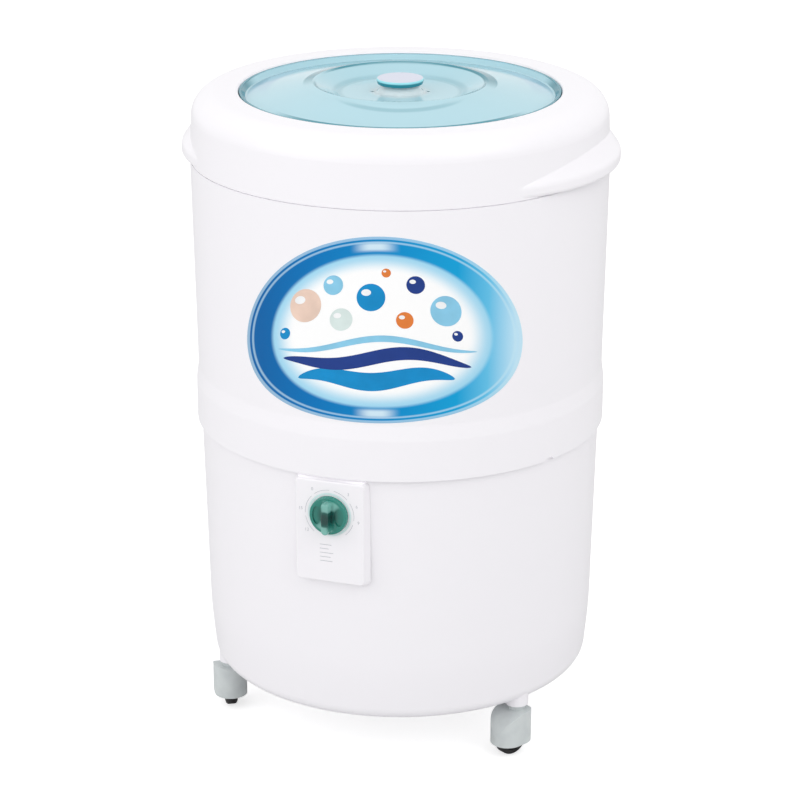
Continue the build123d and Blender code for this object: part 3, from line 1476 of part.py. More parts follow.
with BuildPart() as cable_gland:
    add(
        wall_fitting_section(
            cable_z,
            cable_hole_radius,
            cable_gland_neck - slip_gap,
            cable_gland_flange,
            cable_gland_nose,
        )
    )
    revolve(axis=Axis((0, 0, cable_z), (0, 1, 0)))
cable_gland.part.label = "cable_gland"
export_step(cable_gland.part, "parts/cable_gland.step")

# Spring rings that hold the caster stems in the base
with BuildPart() as caster_retaining_rings:
    with BuildSketch(Plane.XY.offset(retaining_ring_z)):
        with Locations(*[(x, y) for x, y, z in caster_points]):
            Circle(caster_stem_radius + retaining_ring_proud)
            Circle(caster_stem_radius - retaining_ring_bite, mode=Mode.SUBTRACT)
            with Locations((caster_stem_radius, 0)):
                Rectangle(3.0, retaining_ring_slit, mode=Mode.SUBTRACT)
    extrude(amount=retaining_ring_height)
caster_retaining_rings.part.label = "caster_retaining_rings"
export_step(caster_retaining_rings.part, "parts/caster_retaining_rings.step")

# Casters: swivelling hood, stem, wheel and axle, trailing round the base
axle_z = wheel_radius
hub_half = wheel_width / 2 + 0.5
hood_centre = caster_trail
cavity_length = hood_length - 2 * hood_wall
cavity_width = hood_width - 2 * hood_wall
for name, azimuth in caster_names.items():
    a = radians(azimuth)
    stem_x, stem_y = on_circle(caster_circle, azimuth)[:2]
    trail = Vector(-cos(a), -sin(a), 0)
    outward = Vector(sin(a), -cos(a), 0)
    plan = Plane(origin=(stem_x, stem_y, 0), x_dir=trail, z_dir=(0, 0, 1))
    side_view = Plane(origin=(stem_x, stem_y, 0), x_dir=trail, z_dir=-outward)
    axle_point = Vector(stem_x, stem_y, axle_z) + trail * caster_trail
    axle_axis = Axis(axle_point, outward)
    axle_plane = Plane(origin=axle_point, x_dir=trail, z_dir=outward)
    section = Plane(origin=axle_point, x_dir=outward, z_dir=trail)

    with BuildPart() as caster_cavity:
        with BuildSketch(side_view):
            with BuildLine():
                FilletPolyline(
                    (hood_centre + cavity_length / 2, hood_bottom_z - 1.0),
                    (hood_centre + cavity_length / 2, hood_roof_z),
                    (hood_centre - cavity_length / 2, hood_roof_z),
                    (hood_centre - cavity_length / 2, hood_bottom_z - 1.0),
                    radius=[hood_brow_blend - 6.0, 6.0],
                )
                Line(
                    (hood_centre - cavity_length / 2, hood_bottom_z - 1.0),
                    (hood_centre + cavity_length / 2, hood_bottom_z - 1.0),
                )
            make_face()
        extrude(amount=hood_width, both=True)
        with BuildSketch(plan):
            with Locations((hood_centre, 0)):
                SlotOverall(cavity_length, cavity_width)
        extrude(amount=hood_top_z, mode=Mode.INTERSECT)

    with BuildPart() as caster_hood:
        with BuildSketch(side_view):
            with BuildLine():
                FilletPolyline(
                    (hood_centre + hood_length / 2, hood_bottom_z),
                    (hood_centre + hood_length / 2, hood_top_z),
                    (hood_centre - hood_length / 2, hood_top_z),
                    (hood_centre - hood_length / 2, hood_bottom_z),
                    radius=[hood_brow_blend, 5.0],
                )
                Line(
                    (hood_centre - hood_length / 2, hood_bottom_z),
                    (hood_centre + hood_length / 2, hood_bottom_z),
                )
            make_face()
        extrude(amount=hood_width, both=True)
        with BuildSketch(plan):
            with Locations((hood_centre, 0)):
                SlotOverall(hood_length, hood_width)
        extrude(amount=hood_top_z, mode=Mode.INTERSECT)
        add(caster_cavity.part, mode=Mode.SUBTRACT)
        with BuildSketch(plan.offset(hood_top_z - 1.0)):
            Circle(hood_neck_radius)
        extrude(amount=caster_boss_bottom_z - 0.5 - hood_top_z + 1.0)
        # bosses that carry the axle's ends
        for side in (-1, 1):
            with BuildSketch(axle_plane.offset(side * (hub_half + 0.3))):
                Circle(caster_axle_radius + 2.5)
            extrude(amount=side * (cavity_width / 2 + 0.5 - hub_half - 0.3))
        with BuildSketch(axle_plane.offset(-caster_axle_length / 2)):
            Circle(caster_axle_radius + 0.02)
        extrude(amount=caster_axle_length, mode=Mode.SUBTRACT)
        with BuildSketch(plan.offset(hood_roof_z + 1.0)):
            Circle(caster_stem_radius + 0.02)
        extrude(amount=caster_boss_bottom_z - hood_roof_z, mode=Mode.SUBTRACT)
    caster_hood.part.label = f"caster_{name}_hood"
    export_step(caster_hood.part, f"parts/caster_{name}_hood.step")

    with BuildPart() as caster_stem:
        with BuildSketch(plan.offset(hood_roof_z + 1.0)):
            Circle(caster_stem_radius)
        extrude(amount=caster_stem_top_z - hood_roof_z - 1.0)
        chamfer(caster_stem.edges().group_by(Axis.Z)[-1], length=0.8)
        with BuildSketch(plan.offset(retaining_ring_z - 0.3)):
            Circle(caster_stem_radius + 0.5)
            Circle(caster_stem_radius - 0.5, mode=Mode.SUBTRACT)
        extrude(amount=retaining_ring_height + 0.6, mode=Mode.SUBTRACT)
    caster_stem.part.label = f"caster_{name}_stem"
    export_step(caster_stem.part, f"parts/caster_{name}_stem.step")

    with BuildPart() as caster_wheel:
        with BuildSketch(section):
            with BuildLine():
                Polyline(
                    (-hub_half, caster_axle_radius + running_gap),
                    (-hub_half, 6.0),
                    (-wheel_width / 2 + 2.5, 7.0),
                    (-wheel_width / 2 + 2.5, 12.5),
                    (-wheel_width / 2, 14.0),
                    (-wheel_width / 2, wheel_radius),
                    (wheel_width / 2, wheel_radius),
                    (wheel_width / 2, 14.0),
                    (wheel_width / 2 - 2.5, 12.5),
                    (wheel_width / 2 - 2.5, 7.0),
                    (hub_half, 6.0),
                    (hub_half, caster_axle_radius + running_gap),
                    close=True,
                )
            make_face()
        revolve(axis=axle_axis)
        tread_edges = caster_wheel.edges().filter_by(GeomType.CIRCLE).filter_by(
            lambda edge: edge.radius > wheel_radius - 0.1
        )
        fillet(tread_edges, radius=wheel_edge_blend)
    caster_wheel.part.label = f"caster_{name}_wheel"
    export_step(caster_wheel.part, f"parts/caster_{name}_wheel.step")

    with BuildPart() as caster_axle:
        with BuildSketch(axle_plane.offset(-caster_axle_length / 2)):
            Circle(caster_axle_radius)
        extrude(amount=caster_axle_length)
    caster_axle.part.label = f"caster_{name}_axle"
    export_step(caster_axle.part, f"parts/caster_{name}_axle.step")
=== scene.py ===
import json
import math

import bpy
import numpy as np
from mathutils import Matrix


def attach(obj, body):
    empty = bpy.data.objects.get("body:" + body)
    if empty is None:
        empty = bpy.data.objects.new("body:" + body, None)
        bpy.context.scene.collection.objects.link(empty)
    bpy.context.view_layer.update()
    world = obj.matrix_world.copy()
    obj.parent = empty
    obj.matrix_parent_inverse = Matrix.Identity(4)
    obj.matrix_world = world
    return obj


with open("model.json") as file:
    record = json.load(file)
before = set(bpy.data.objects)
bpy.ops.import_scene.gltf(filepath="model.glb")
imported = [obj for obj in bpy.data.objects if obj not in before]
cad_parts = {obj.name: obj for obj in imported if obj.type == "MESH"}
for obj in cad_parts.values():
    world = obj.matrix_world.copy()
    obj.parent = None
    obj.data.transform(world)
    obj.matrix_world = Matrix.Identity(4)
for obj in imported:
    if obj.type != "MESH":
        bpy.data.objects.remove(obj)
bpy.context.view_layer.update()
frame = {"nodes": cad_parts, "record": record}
nodes = frame["nodes"]

# Semi-automatic washing machine, about 0.69 m high. Metres, +Z up, front towards -Y.
# An azimuth is counted from the front towards +X.

mm = 0.001
imageWidth = 800
dialHeight = 291.0            # mm, middle of the timer dial

shot = {
    "azimuth": 19.2,          # degrees round the machine
    "pitch": 19.79,           # degrees below the horizon
    "distance": 2.7984,       # from the tub's axis, level
    "height": 1.3464,
    "lens": 126.72,
    "shift": -0.2,            # pixels
}


def toLinear(hexColour):
    # sRGB hex to linear light: each channel over 255, raised along the sRGB curve
    channels = [int(hexColour[k:k + 2], 16) / 255 for k in (1, 3, 5)]
    return [c / 12.92 if c <= 0.04045 else ((c + 0.055) / 1.055) ** 2.4 for c in channels] + [1.0]


def addNode(tree, kind, inputs=None, **settings):
    # adds a node, sets its options and gives its sockets a value or a link
    node = tree.nodes.new(kind)
    for option, value in settings.items():
        setattr(node, option, value)
    for socket, value in (inputs or {}).items():
        if isinstance(value, bpy.types.NodeSocket):
            tree.links.new(value, node.inputs[socket])
        else:
            node.inputs[socket].default_value = value
    return node


def newMaterial(name):
    # an empty material and its node tree
    material = bpy.data.materials.new(name)
    material.use_nodes = True
    material.node_tree.nodes.clear()
    return material, material.node_tree


def finishMaterial(tree, shader):
    # links a shader to the material's output
    addNode(tree, "ShaderNodeOutputMaterial", {"Surface": shader.outputs[0]})


def mouldedGrain(tree, grainMm, strength, depthMm):
    # moulded skin: noise with grains grainMm wide, as a bump depthMm deep
    coords = addNode(tree, "ShaderNodeTexCoord")
    grain = addNode(tree, "ShaderNodeTexNoise", {
        "Vector": coords.outputs["Object"],
        "Scale": 1 / (grainMm * mm),
        "Detail": 3.0,
        "Roughness": 0.6,
    })
    bump = addNode(tree, "ShaderNodeBump", {
        "Height": grain.outputs["Fac"],
        "Strength": strength,
        "Distance": depthMm * mm,
    })
    return coords, bump


def softBlotches(tree, coords, sizeMm, low, high):
    # slow change over the surface between low and high, as moulded and handled parts have
    blotches = addNode(tree, "ShaderNodeTexNoise", {
        "Vector": coords.outputs["Object"],
        "Scale": 1 / (sizeMm * mm),
        "Detail": 2.0,
    })
    return addNode(tree, "ShaderNodeMapRange", {
        "Value": blotches.outputs["Fac"],
        "From Min": 0.3,
        "From Max": 0.7,
        "To Min": low,
        "To Max": high,
    }).outputs["Result"]


def mixColours(tree, factor, first, second):
    # blends two colours, each a hex string or a socket, by a factor
    first, second = (toLinear(side) if isinstance(side, str) else side for side in (first, second))
    return addNode(tree, "ShaderNodeMix", {
        "Factor": factor,
        "A": first,
        "B": second,
    }, data_type="RGBA").outputs["Result"]


def product(tree, *values):
    # several sockets or numbers multiplied
    whole = values[0]
    for value in values[1:]:
        step = addNode(tree, "ShaderNodeMath", {0: whole, 1: value}, operation="MULTIPLY")
        whole = step.outputs[0]
    return whole


def greatest(tree, *values):
    # the largest of several sockets or numbers
    whole = values[0]
    for value in values[1:]:
        step = addNode(tree, "ShaderNodeMath", {0: whole, 1: value}, operation="MAXIMUM")
        whole = step.outputs[0]
    return whole


def total(tree, first, second):
    # first plus second
    return addNode(tree, "ShaderNodeMath", {0: first, 1: second}, operation="ADD").outputs[0]


def difference(tree, first, second):
    # first less second
    return addNode(tree, "ShaderNodeMath", {0: first, 1: second}, operation="SUBTRACT").outputs[0]


def within(tree, value, low, high):
    # 1 between two sizes in mm and 0 outside them
    above = addNode(tree, "ShaderNodeMath", {0: value, 1: low * mm}, operation="GREATER_THAN")
    below = addNode(tree, "ShaderNodeMath", {0: value, 1: high * mm}, operation="LESS_THAN")
    return product(tree, above.outputs[0], below.outputs[0])


def smoothBand(tree, value, low, high):
    # 0 below low, 1 above high and a smooth step between
    return addNode(tree, "ShaderNodeMapRange", {
        "Value": value, "From Min": low, "From Max": high,
    }, interpolation_type="SMOOTHSTEP").outputs["Result"]


def ringBand(tree, radius, inner, outer, soft):
    # 1 between two radii in mm, with soft edges
    rising = smoothBand(tree, radius, (inner - soft) * mm, inner * mm)
    falling = smoothBand(tree, radius, outer * mm, (outer + soft) * mm)
    return product(tree, rising, difference(tree, 1.0, falling))


def axisDistance(tree, x, y):
    # distance from an axis: the square root of x squared plus y squared
    squares = total(tree, product(tree, x, x), product(tree, y, y))
    return addNode(tree, "ShaderNodeMath", {0: squares}, operation="SQRT").outputs[0]


def placeOf(tree, coords):
    # the point of the surface, apart in X, Y and Z
    return addNode(tree, "ShaderNodeSeparateXYZ", {"Vector": coords.outputs["Object"]}).outputs


# Materials
print("materials")


# painted light: a glow on the thin wall beside a seam, which lightens the seam's shade: heights and
# radius in mm
seamGlows = {
    "cover": {"low": 607.45, "high": 611.5, "radius": 211.6, "strength": 0.55},
    "panel": {"low": 326.6, "high": 330.0, "radius": 400.0, "strength": 0.30},
}


def glossyPolypropylene(name, seamGlow=None):
    # injection-moulded white polypropylene: a clean glossy skin, faintly lilac, with a very fine
    # grain, and a faint painted glow between a seam's two heights and inside its radius that
    # lightens its shade
    material, tree = newMaterial(name)
    coords, bump = mouldedGrain(tree, 0.8, 0.08, 0.02)
    white = toLinear("#f6f4f8")
    settings = {
        "Base Color": white,
        "Roughness": 0.3,
        "IOR": 1.49,
        "Normal": bump.outputs["Normal"],
    }
    if seamGlow:
        place = placeOf(tree, coords)
        radius = axisDistance(tree, place["X"], place["Y"])
        # painted light: the skin glows in the seam's shade, though it is no lamp
        settings["Emission Color"] = white
        settings["Emission Strength"] = product(
            tree,
            within(tree, place["Z"], seamGlow["low"], seamGlow["high"]),
            within(tree, radius, 0.0, seamGlow["radius"]),
            seamGlow["strength"],
        )
    finishMaterial(tree, addNode(tree, "ShaderNodeBsdfPrincipled", settings))
    return material


def naturalPolypropylene():
    # unpainted natural polypropylene of tub and pulsator: cooler, a little duller than the casing
    material, tree = newMaterial("naturalPolypropylene")
    coords, bump = mouldedGrain(tree, 3.0, 0.15, 0.05)
    colour = mixColours(tree, softBlotches(tree, coords, 90, 0.0, 1.0), "#e9eef0", "#e2e8eb")
    shader = addNode(tree, "ShaderNodeBsdfPrincipled", {
        "Base Color": colour,
        "Roughness": softBlotches(tree, coords, 30, 0.36, 0.46),
        "IOR": 1.49,
        "Normal": bump.outputs["Normal"],
    })
    finishMaterial(tree, shader)
    return material


# the lid's bands are rings about the tub's axis, two radii in mm each, most of them painted
# refraction and shade; those of footSeen, crestBack and frontEdge are placed for the side that the
# product camera sees, front right
lidTintsAndPaintedLight = {
    "body": "#bce4ef",
    "middle": "#eef9fc",          # painted light, paler round the pedestal
    "teal": "#2f8d9f",            # painted refraction: deep teal where light runs through the plastic's thickness
    # painted shade on the trough's far wall
    "farTroughShade": "#a4c8e2",
    "pedestalGlow": (0.0, 20.0),
    "foot": (62.0, 66.0),
    "footSeen": (64.5, 67.5),     # painted refraction: the foot's ring, as if seen through the slope in front of it
    "footShift": (14.0, -40.0),   # how far the painted ring seems to move there, X and Y in mm
    "crest": (87.0, 97.0),
    "crestTop": (88.5, 92.0),
    "crestBack": (86.0, 98.0),    # painted shade on the crest's far wall
    "trough": (138.0, 161.0),
    "frontEdge": (145.6, 166.0),  # painted dark line on the edge nearest to the camera
    "frontWay": (0.33, -0.944),   # the level direction in which that edge lies
    "rim": (158.0, 165.0),
}


def aquaStyrene():
    # polished aqua styrene of the lid, pale where it is seen square on; painted refraction and
    # shade: deep teal painted along its rim, behind its crest and wherever it turns away, standing
    # in for light through thick tinted plastic, and painted light round the pedestal
    material, tree = newMaterial("aquaTintedStyrene")
    coords, bump = mouldedGrain(tree, 25.0, 0.05, 0.05)
    place = placeOf(tree, coords)
    radius = axisDistance(tree, place["X"], place["Y"])

    def ring(name, soft):
        return ringBand(tree, radius, *lidTintsAndPaintedLight[name], soft)

    away = addNode(tree, "ShaderNodeLayerWeight", {"Blend": 0.5}).outputs["Facing"]
    leaning = smoothBand(tree, away, 0.74, 0.84)
    towards = difference(tree, 0.55, smoothBand(tree, away, 0.48, 0.66))
    # painted refraction: deep teal along the rim and the crest where they turn away
    rim = product(tree, ring("rim", 1.2), smoothBand(tree, away, 0.54, 0.70))
    crest = greatest(tree, product(tree, ring("crest", 3.0), leaning),
                     product(tree, ring("crestTop", 6.0), towards))
    # painted shade behind the crest, on its far wall
    behindShade = product(tree, ring("crestBack", 1.5), smoothBand(tree, place["Y"], 0.0, 40.0 * mm))
    # the front edge's painted dark line: its ring, as far as it lies to the front
    wayX, wayY = lidTintsAndPaintedLight["frontWay"]
    front = total(tree, product(tree, place["X"], wayX), product(tree, place["Y"], wayY))
    edge = product(tree, ring("frontEdge", 1.2),
                   smoothBand(tree, front, 75.0 * mm, 120.0 * mm), 0.95)
    # painted shade at the foot of the dish, and the same ring shifted towards the camera as painted
    # refraction
    foot = product(tree, ring("foot", 5.0), 0.24)
    shiftX, shiftY = lidTintsAndPaintedLight["footShift"]
    ahead = axisDistance(tree, difference(tree, place["X"], shiftX * mm),
                         difference(tree, place["Y"], shiftY * mm))
    paintedFootSeen = product(tree, ringBand(tree, ahead, *lidTintsAndPaintedLight["footSeen"], 5.0),
                      smoothBand(tree, radius, 93.0 * mm, 104.0 * mm), 0.34)
    # these four painted bands deepen only where the wall is seen at a slant, so from above they
    # fade
    slanted = product(tree, greatest(tree, behindShade, edge, foot, paintedFootSeen),
                      smoothBand(tree, away, 0.30, 0.50))
    # painted refraction wherever the surface turns away
    turned = smoothBand(tree, away, 0.88, 0.99)
    teal = product(tree, greatest(tree, rim, crest, slanted, turned), 0.95)
    # painted shade on the trough's far wall, where it leans away
    farShade = product(tree, ring("trough", 8.0), leaning, 0.6)
    # painted light: paler round the pedestal
    body = mixColours(tree, ring("pedestalGlow", 14.0), lidTintsAndPaintedLight["body"], lidTintsAndPaintedLight["middle"])
    body = mixColours(tree, farShade, body, lidTintsAndPaintedLight["farTroughShade"])
    finishMaterial(tree, addNode(tree, "ShaderNodeBsdfPrincipled", {
        "Base Color": mixColours(tree, teal, body, lidTintsAndPaintedLight["teal"]),
        "Roughness": softBlotches(tree, coords, 45, 0.08, 0.14),
        "IOR": 1.35,
        "Transmission Weight": 0.14,
        "Normal": bump.outputs["Normal"],
    }))
    return material


# the lid knob's teal side, its painted edge highlight and its painted top reflection
lidKnob = {
    "side": "#1b8494",
    "upperEdgeHighlight": "#a5ecf4",
    "disc": "#cfd3e4",
    "highlightHeights": (684.2, 685.6),  # mm, where the painted highlight on its side begins
}


def tealKnobStyrenePainted():
    # the lid's knob: teal styrene whose upward faces are painted pale, a painted reflection of the
    # room above
    material, tree = newMaterial("tealStyrenePaintedReflection")
    coords, bump = mouldedGrain(tree, 8.0, 0.05, 0.03)
    lean = addNode(tree, "ShaderNodeSeparateXYZ", {"Vector": coords.outputs["Normal"]})
    # painted reflection: faces that point up turn pale
    top = smoothBand(tree, lean.outputs["Z"], 0.80, 0.93)
    # painted highlight along the upper edge of its side
    low, high = lidKnob["highlightHeights"]
    edge = product(tree, smoothBand(tree, placeOf(tree, coords)["Z"], low * mm, high * mm), 0.9)
    side = mixColours(tree, edge, lidKnob["side"], lidKnob["upperEdgeHighlight"])
    shader = addNode(tree, "ShaderNodeBsdfPrincipled", {
        "Base Color": mixColours(tree, top, side, lidKnob["disc"]),
        "Roughness": 0.16,
        "IOR": 1.5,
        "Normal": bump.outputs["Normal"],
    })
    finishMaterial(tree, shader)
    return material


# the knob's teal, with painted shade at its middle and painted glints
timerKnob = {
    "middle": "#043f3a",
    "outer": "#23897b",
    "glint": "#9fdcd2",
    "paintedGlintRing": (9.5, 15.5),     # painted glints, mm from the dial's middle
    "paintedGlintTurn": 75.0,            # degrees from the right, where the upper painted glint lies
}


def tealStyrene():
    # translucent dark teal styrene of the timer knob, with painted refraction: bottle green painted
    # at its middle, where it is thickest, and two wide painted glints where light runs round inside
    # its skirt
    material, tree = newMaterial("tealTransparentStyrene")
    coords, bump = mouldedGrain(tree, 14.0, 0.05, 0.05)
    place = placeOf(tree, coords)
    up = difference(tree, place["Z"], dialHeight * mm)
    radius = axisDistance(tree, place["X"], up)
    angle = addNode(tree, "ShaderNodeMath", {0: up, 1: place["X"]}, operation="ARCTAN2")
    # two painted glints across from each other: cosine of twice the angle from the upper one
    fromGlint = difference(tree, angle.outputs[0], math.radians(timerKnob["paintedGlintTurn"]))
    swing = addNode(tree, "ShaderNodeMath", {0: product(tree, fromGlint, 2.0)}, operation="COSINE")
    glint = product(tree, smoothBand(tree, swing.outputs[0], 0.1, 0.8),
                    ringBand(tree, radius, *timerKnob["paintedGlintRing"], 2.5))
    # painted shade: darker towards the middle
    depth = smoothBand(tree, radius, 3.0 * mm, 15.0 * mm)
    deep = mixColours(tree, depth, timerKnob["middle"], timerKnob["outer"])
    shader = addNode(tree, "ShaderNodeBsdfPrincipled", {
        "Base Color": mixColours(tree, product(tree, glint, 0.6), deep, timerKnob["glint"]),
        "Roughness": 0.1,
        "IOR": 1.57,
        "Transmission Weight": 0.12,
        "Normal": bump.outputs["Normal"],
    })
    finishMaterial(tree, shader)
    return material


def greyNylon():
    # moulded light grey nylon of the caster hoods: satin, faintly green
    material, tree = newMaterial("lightGreyNylon")
    coords, bump = mouldedGrain(tree, 0.9, 0.25, 0.04)
    colour = mixColours(tree, softBlotches(tree, coords, 14, 0.0, 1.0), "#d2d8d8", "#c8cecf")
    shader = addNode(tree, "ShaderNodeBsdfPrincipled", {
        "Base Color": colour,
        "Roughness": softBlotches(tree, coords, 8, 0.36, 0.48),
        "IOR": 1.53,
        "Normal": bump.outputs["Normal"],
    })
    finishMaterial(tree, shader)
    return material


def blackNylon(name, first, second, grainMm, low, high):
    # moulded black nylon: satin, scuffed a little greyer where it runs or is handled
    material, tree = newMaterial(name)
    coords, bump = mouldedGrain(tree, grainMm, 0.3, 0.05)
    colour = mixColours(tree, softBlotches(tree, coords, 10, 0.0, 1.0), first, second)
    shader = addNode(tree, "ShaderNodeBsdfPrincipled", {
        "Base Color": colour,
        "Roughness": softBlotches(tree, coords, 6, low, high),
        "IOR": 1.53,
        "Normal": bump.outputs["Normal"],
    })
    finishMaterial(tree, shader)
    return material


def mouldedRubber():
    # black moulded rubber of belt, seals and grommets: matt, dusty, with a fine pebbled skin
    material, tree = newMaterial("mattBlackRubber")
    coords, bump = mouldedGrain(tree, 0.7, 0.35, 0.06)
    colour = mixColours(tree, softBlotches(tree, coords, 12, 0.0, 1.0), "#1d1d1f", "#2b2b2d")
    shader = addNode(tree, "ShaderNodeBsdfPrincipled", {
        "Base Color": colour,
        "Roughness": softBlotches(tree, coords, 5, 0.68, 0.82),
        "IOR": 1.5,
        "Normal": bump.outputs["Normal"],
    })
    finishMaterial(tree, shader)
    return material


def workedMetal(name, first, second, grainMm, low, high, depthMm=0.02):
    # bare or plated metal: its colour wanders a little and fine working marks break its sheen
    material, tree = newMaterial(name)
    coords, bump = mouldedGrain(tree, grainMm, 0.3, depthMm)
    colour = mixColours(tree, softBlotches(tree, coords, 7, 0.0, 1.0), first, second)
    shader = addNode(tree, "ShaderNodeBsdfPrincipled", {
        "Base Color": colour,
        "Metallic": 1.0,
        "Roughness": softBlotches(tree, coords, 4, low, high),
        "Normal": bump.outputs["Normal"],
    })
    finishMaterial(tree, shader)
    return material


def woundCopper():
    # enamelled copper wire wound in a coil: rows of wires 0.8 mm apart, amber lacquer over copper;
    # a wave texture of scale 0.314 has its bands 1 m apart
    material, tree = newMaterial("enamelledCopperWinding")
    coords = addNode(tree, "ShaderNodeTexCoord")
    wires = addNode(tree, "ShaderNodeTexWave", {
        "Vector": coords.outputs["Object"],
        "Scale": 0.314 / (0.8 * mm),
        "Distortion": 1.5,
        "Detail": 1.0,
    }, wave_type="BANDS", bands_direction="Z")
    bump = addNode(tree, "ShaderNodeBump", {
        "Height": wires.outputs["Fac"],
        "Strength": 0.6,
        "Distance": 0.3 * mm,
    })
    colour = mixColours(tree, wires.outputs["Fac"], "#6e3312", "#b5652c")
    shader = addNode(tree, "ShaderNodeBsdfPrincipled", {
        "Base Color": colour,
        "Metallic": 0.9,
        "Roughness": softBlotches(tree, coords, 4, 0.28, 0.4),
        "Normal": bump.outputs["Normal"],
    })
    finishMaterial(tree, shader)
    return material


# black nylons and metals: name, two colours that they wander between, grain in mm, least and
# greatest roughness, and for some the depth of the grain in mm
slotMaterials = {
    "white_plastic": glossyPolypropylene("glossyWhitePolypropylene"),
    "tub_plastic": naturalPolypropylene(),
    "clear_lid": aquaStyrene(),
    "teal_knob": tealStyrene(),
    "caster_plastic": greyNylon(),
    "wheel_plastic": blackNylon("blackNylonWheel", "#0f0f10", "#1c1c1e", 0.8, 0.4, 0.55),
    "black_plastic": blackNylon("glassFilledBlackNylon", "#18181a", "#232326", 0.6, 0.5, 0.62),
    "rubber": mouldedRubber(),
    "plated_steel": workedMetal("zincPlatedSteel", "#c3c5c9", "#b4b6b4", 0.8, 0.26, 0.38),
    "stainless_steel": workedMetal("groundStainlessSteel", "#cfcfd1", "#bdbdc0", 0.5, 0.18, 0.3),
    "bronze": workedMetal("sinteredBronze", "#b38549", "#96703d", 0.4, 0.45, 0.6, 0.04),
    "cast_shield": workedMetal("dieCastAluminium", "#b9babd", "#a5a6a9", 1.2, 0.42, 0.56, 0.05),
    "core_steel": workedMetal("laminatedCoreSteel", "#6f7276", "#5d6064", 0.6, 0.4, 0.55),
    "copper_winding": woundCopper(),
}

# these differ from the rest of their slot
ownMaterials = {
    "lid_knob": tealKnobStyrenePainted(),
    # painted glow in the shade of the cover seam and along the panel's top
    "upper_shell": glossyPolypropylene("whitePolypropyleneSpigotGlow", seamGlows["cover"]),
    "control_panel": glossyPolypropylene("whitePolypropylenePanelGlow", seamGlows["panel"]),
}

for entry in frame["record"]["subparts"]:
    slots = nodes[entry["node"]].data.materials
    slots.clear()
    slots.append(ownMaterials.get(entry["node"], slotMaterials[entry["material_slot"]]))


# Mesh building
def addPrint(name, mesh, material):
    # an object of its own from a mesh, riding on the cabinet as part of its white plastic
    mesh.materials.clear()
    mesh.materials.append(material)
    piece = bpy.data.objects.new(name, mesh)
    bpy.context.scene.collection.objects.link(piece)
    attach(piece, "cabinet")
    return piece


def printPiece(name, points, faces, material):
    # the same from an array of points and a list of faces
    mesh = bpy.data.meshes.new(name)
    mesh.from_pydata(points.reshape(-1, 3).tolist(), [], faces)
    mesh.polygons.foreach_set("use_smooth", np.full(len(mesh.polygons), True))
    return addPrint(name, mesh, material)


def gridFaces(rows, columns, wrap):
    # quads between neighbours of a rows x columns grid of points; wrap closes the columns
    row, column = np.mgrid[0:rows - 1, 0:columns if wrap else columns - 1]
    following = (column + 1) % columns
    return np.stack([
        row * columns + column,
        row * columns + following,
        (row + 1) * columns + following,
        (row + 1) * columns + column,
    ], axis=-1).reshape(-1, 4).tolist()


# Oval sticker on the upper shell
print("oval sticker")

sticker = {
    "azimuth": 13.6,            # degrees, its centre
    "halfArc": 40.0,            # degrees
    "centreHeight": 486.5,      # mm
    "halfHeight": 95.5,
    "lift": 0.12,               # mm clear of the shell
    "rings": 60,
    "spokes": 192,
    "droop": 28.0,              # mm that its ends hang below its middle
    "slant": -4.0,              # mm that its right end hangs lower still
    "ring": [                   # the ring's blue, from its left end to its right
        (0.0, "#0062a6"), (0.22, "#0273b8"), (0.5, "#0488c8"),
        (0.76, "#0c9fd6"), (0.88, "#62bfe6"), (1.0, "#bfe4f6"),
    ],
    "glint": "#dff3fb",
    "edgeLine": "#c4e6f5",
    "field": "#fefefe",
    "fieldShade": "#a3d8f0",
    "fieldWidth": 0.755,        # parts of the sticker's own width and height
    "fieldHeight": 0.81,
}
shellRadii = {"waist": 211.2, "top": 214.9, "waistHeight": 388.0, "wallHeight": 219.4}


def shellRadius(height):
    # the wall is straight from its waist to its top, so its radius grows evenly
    share = (height - shellRadii["waistHeight"]) / shellRadii["wallHeight"]
    return shellRadii["waist"] + share * (shellRadii["top"] - shellRadii["waist"])


def onShell(across, up, lift):
    # from the sticker's own plane, across and up in parts of its half width and half height, to
    # the shell: across becomes an angle round the tub's axis and up a height, less the droop
    # times across squared and the slant times across
    azimuth = np.radians(sticker["azimuth"] + across * sticker["halfArc"])
    height = sticker["centreHeight"] + up * sticker["halfHeight"]
    height = height - sticker["droop"] * across ** 2 - sticker["slant"] * across
    radius = shellRadius(height) + lift
    return np.stack([radius * np.sin(azimuth), -radius * np.cos(azimuth), height], axis=-1) * mm


def printedInk(name, hexColour, roughness=0.3):
    # gravure ink under a clear film: even colour, slightly mottled, as glossy as the sticker
    material, tree = newMaterial(name)
    coords, bump = mouldedGrain(tree, 6.0, 0.06, 0.03)
    darker = "#" + "".join("%02x" % int(int(hexColour[k:k + 2], 16) * 0.94) for k in (1, 3, 5))
    shader = addNode(tree, "ShaderNodeBsdfPrincipled", {
        "Base Color": mixColours(tree, softBlotches(tree, coords, 20, 0.0, 1.0), hexColour, darker),
        "Roughness": roughness,
        "IOR": 1.5,
        "Specular IOR Level": 0.15,
        "Normal": bump.outputs["Normal"],
    })
    finishMaterial(tree, shader)
    return material


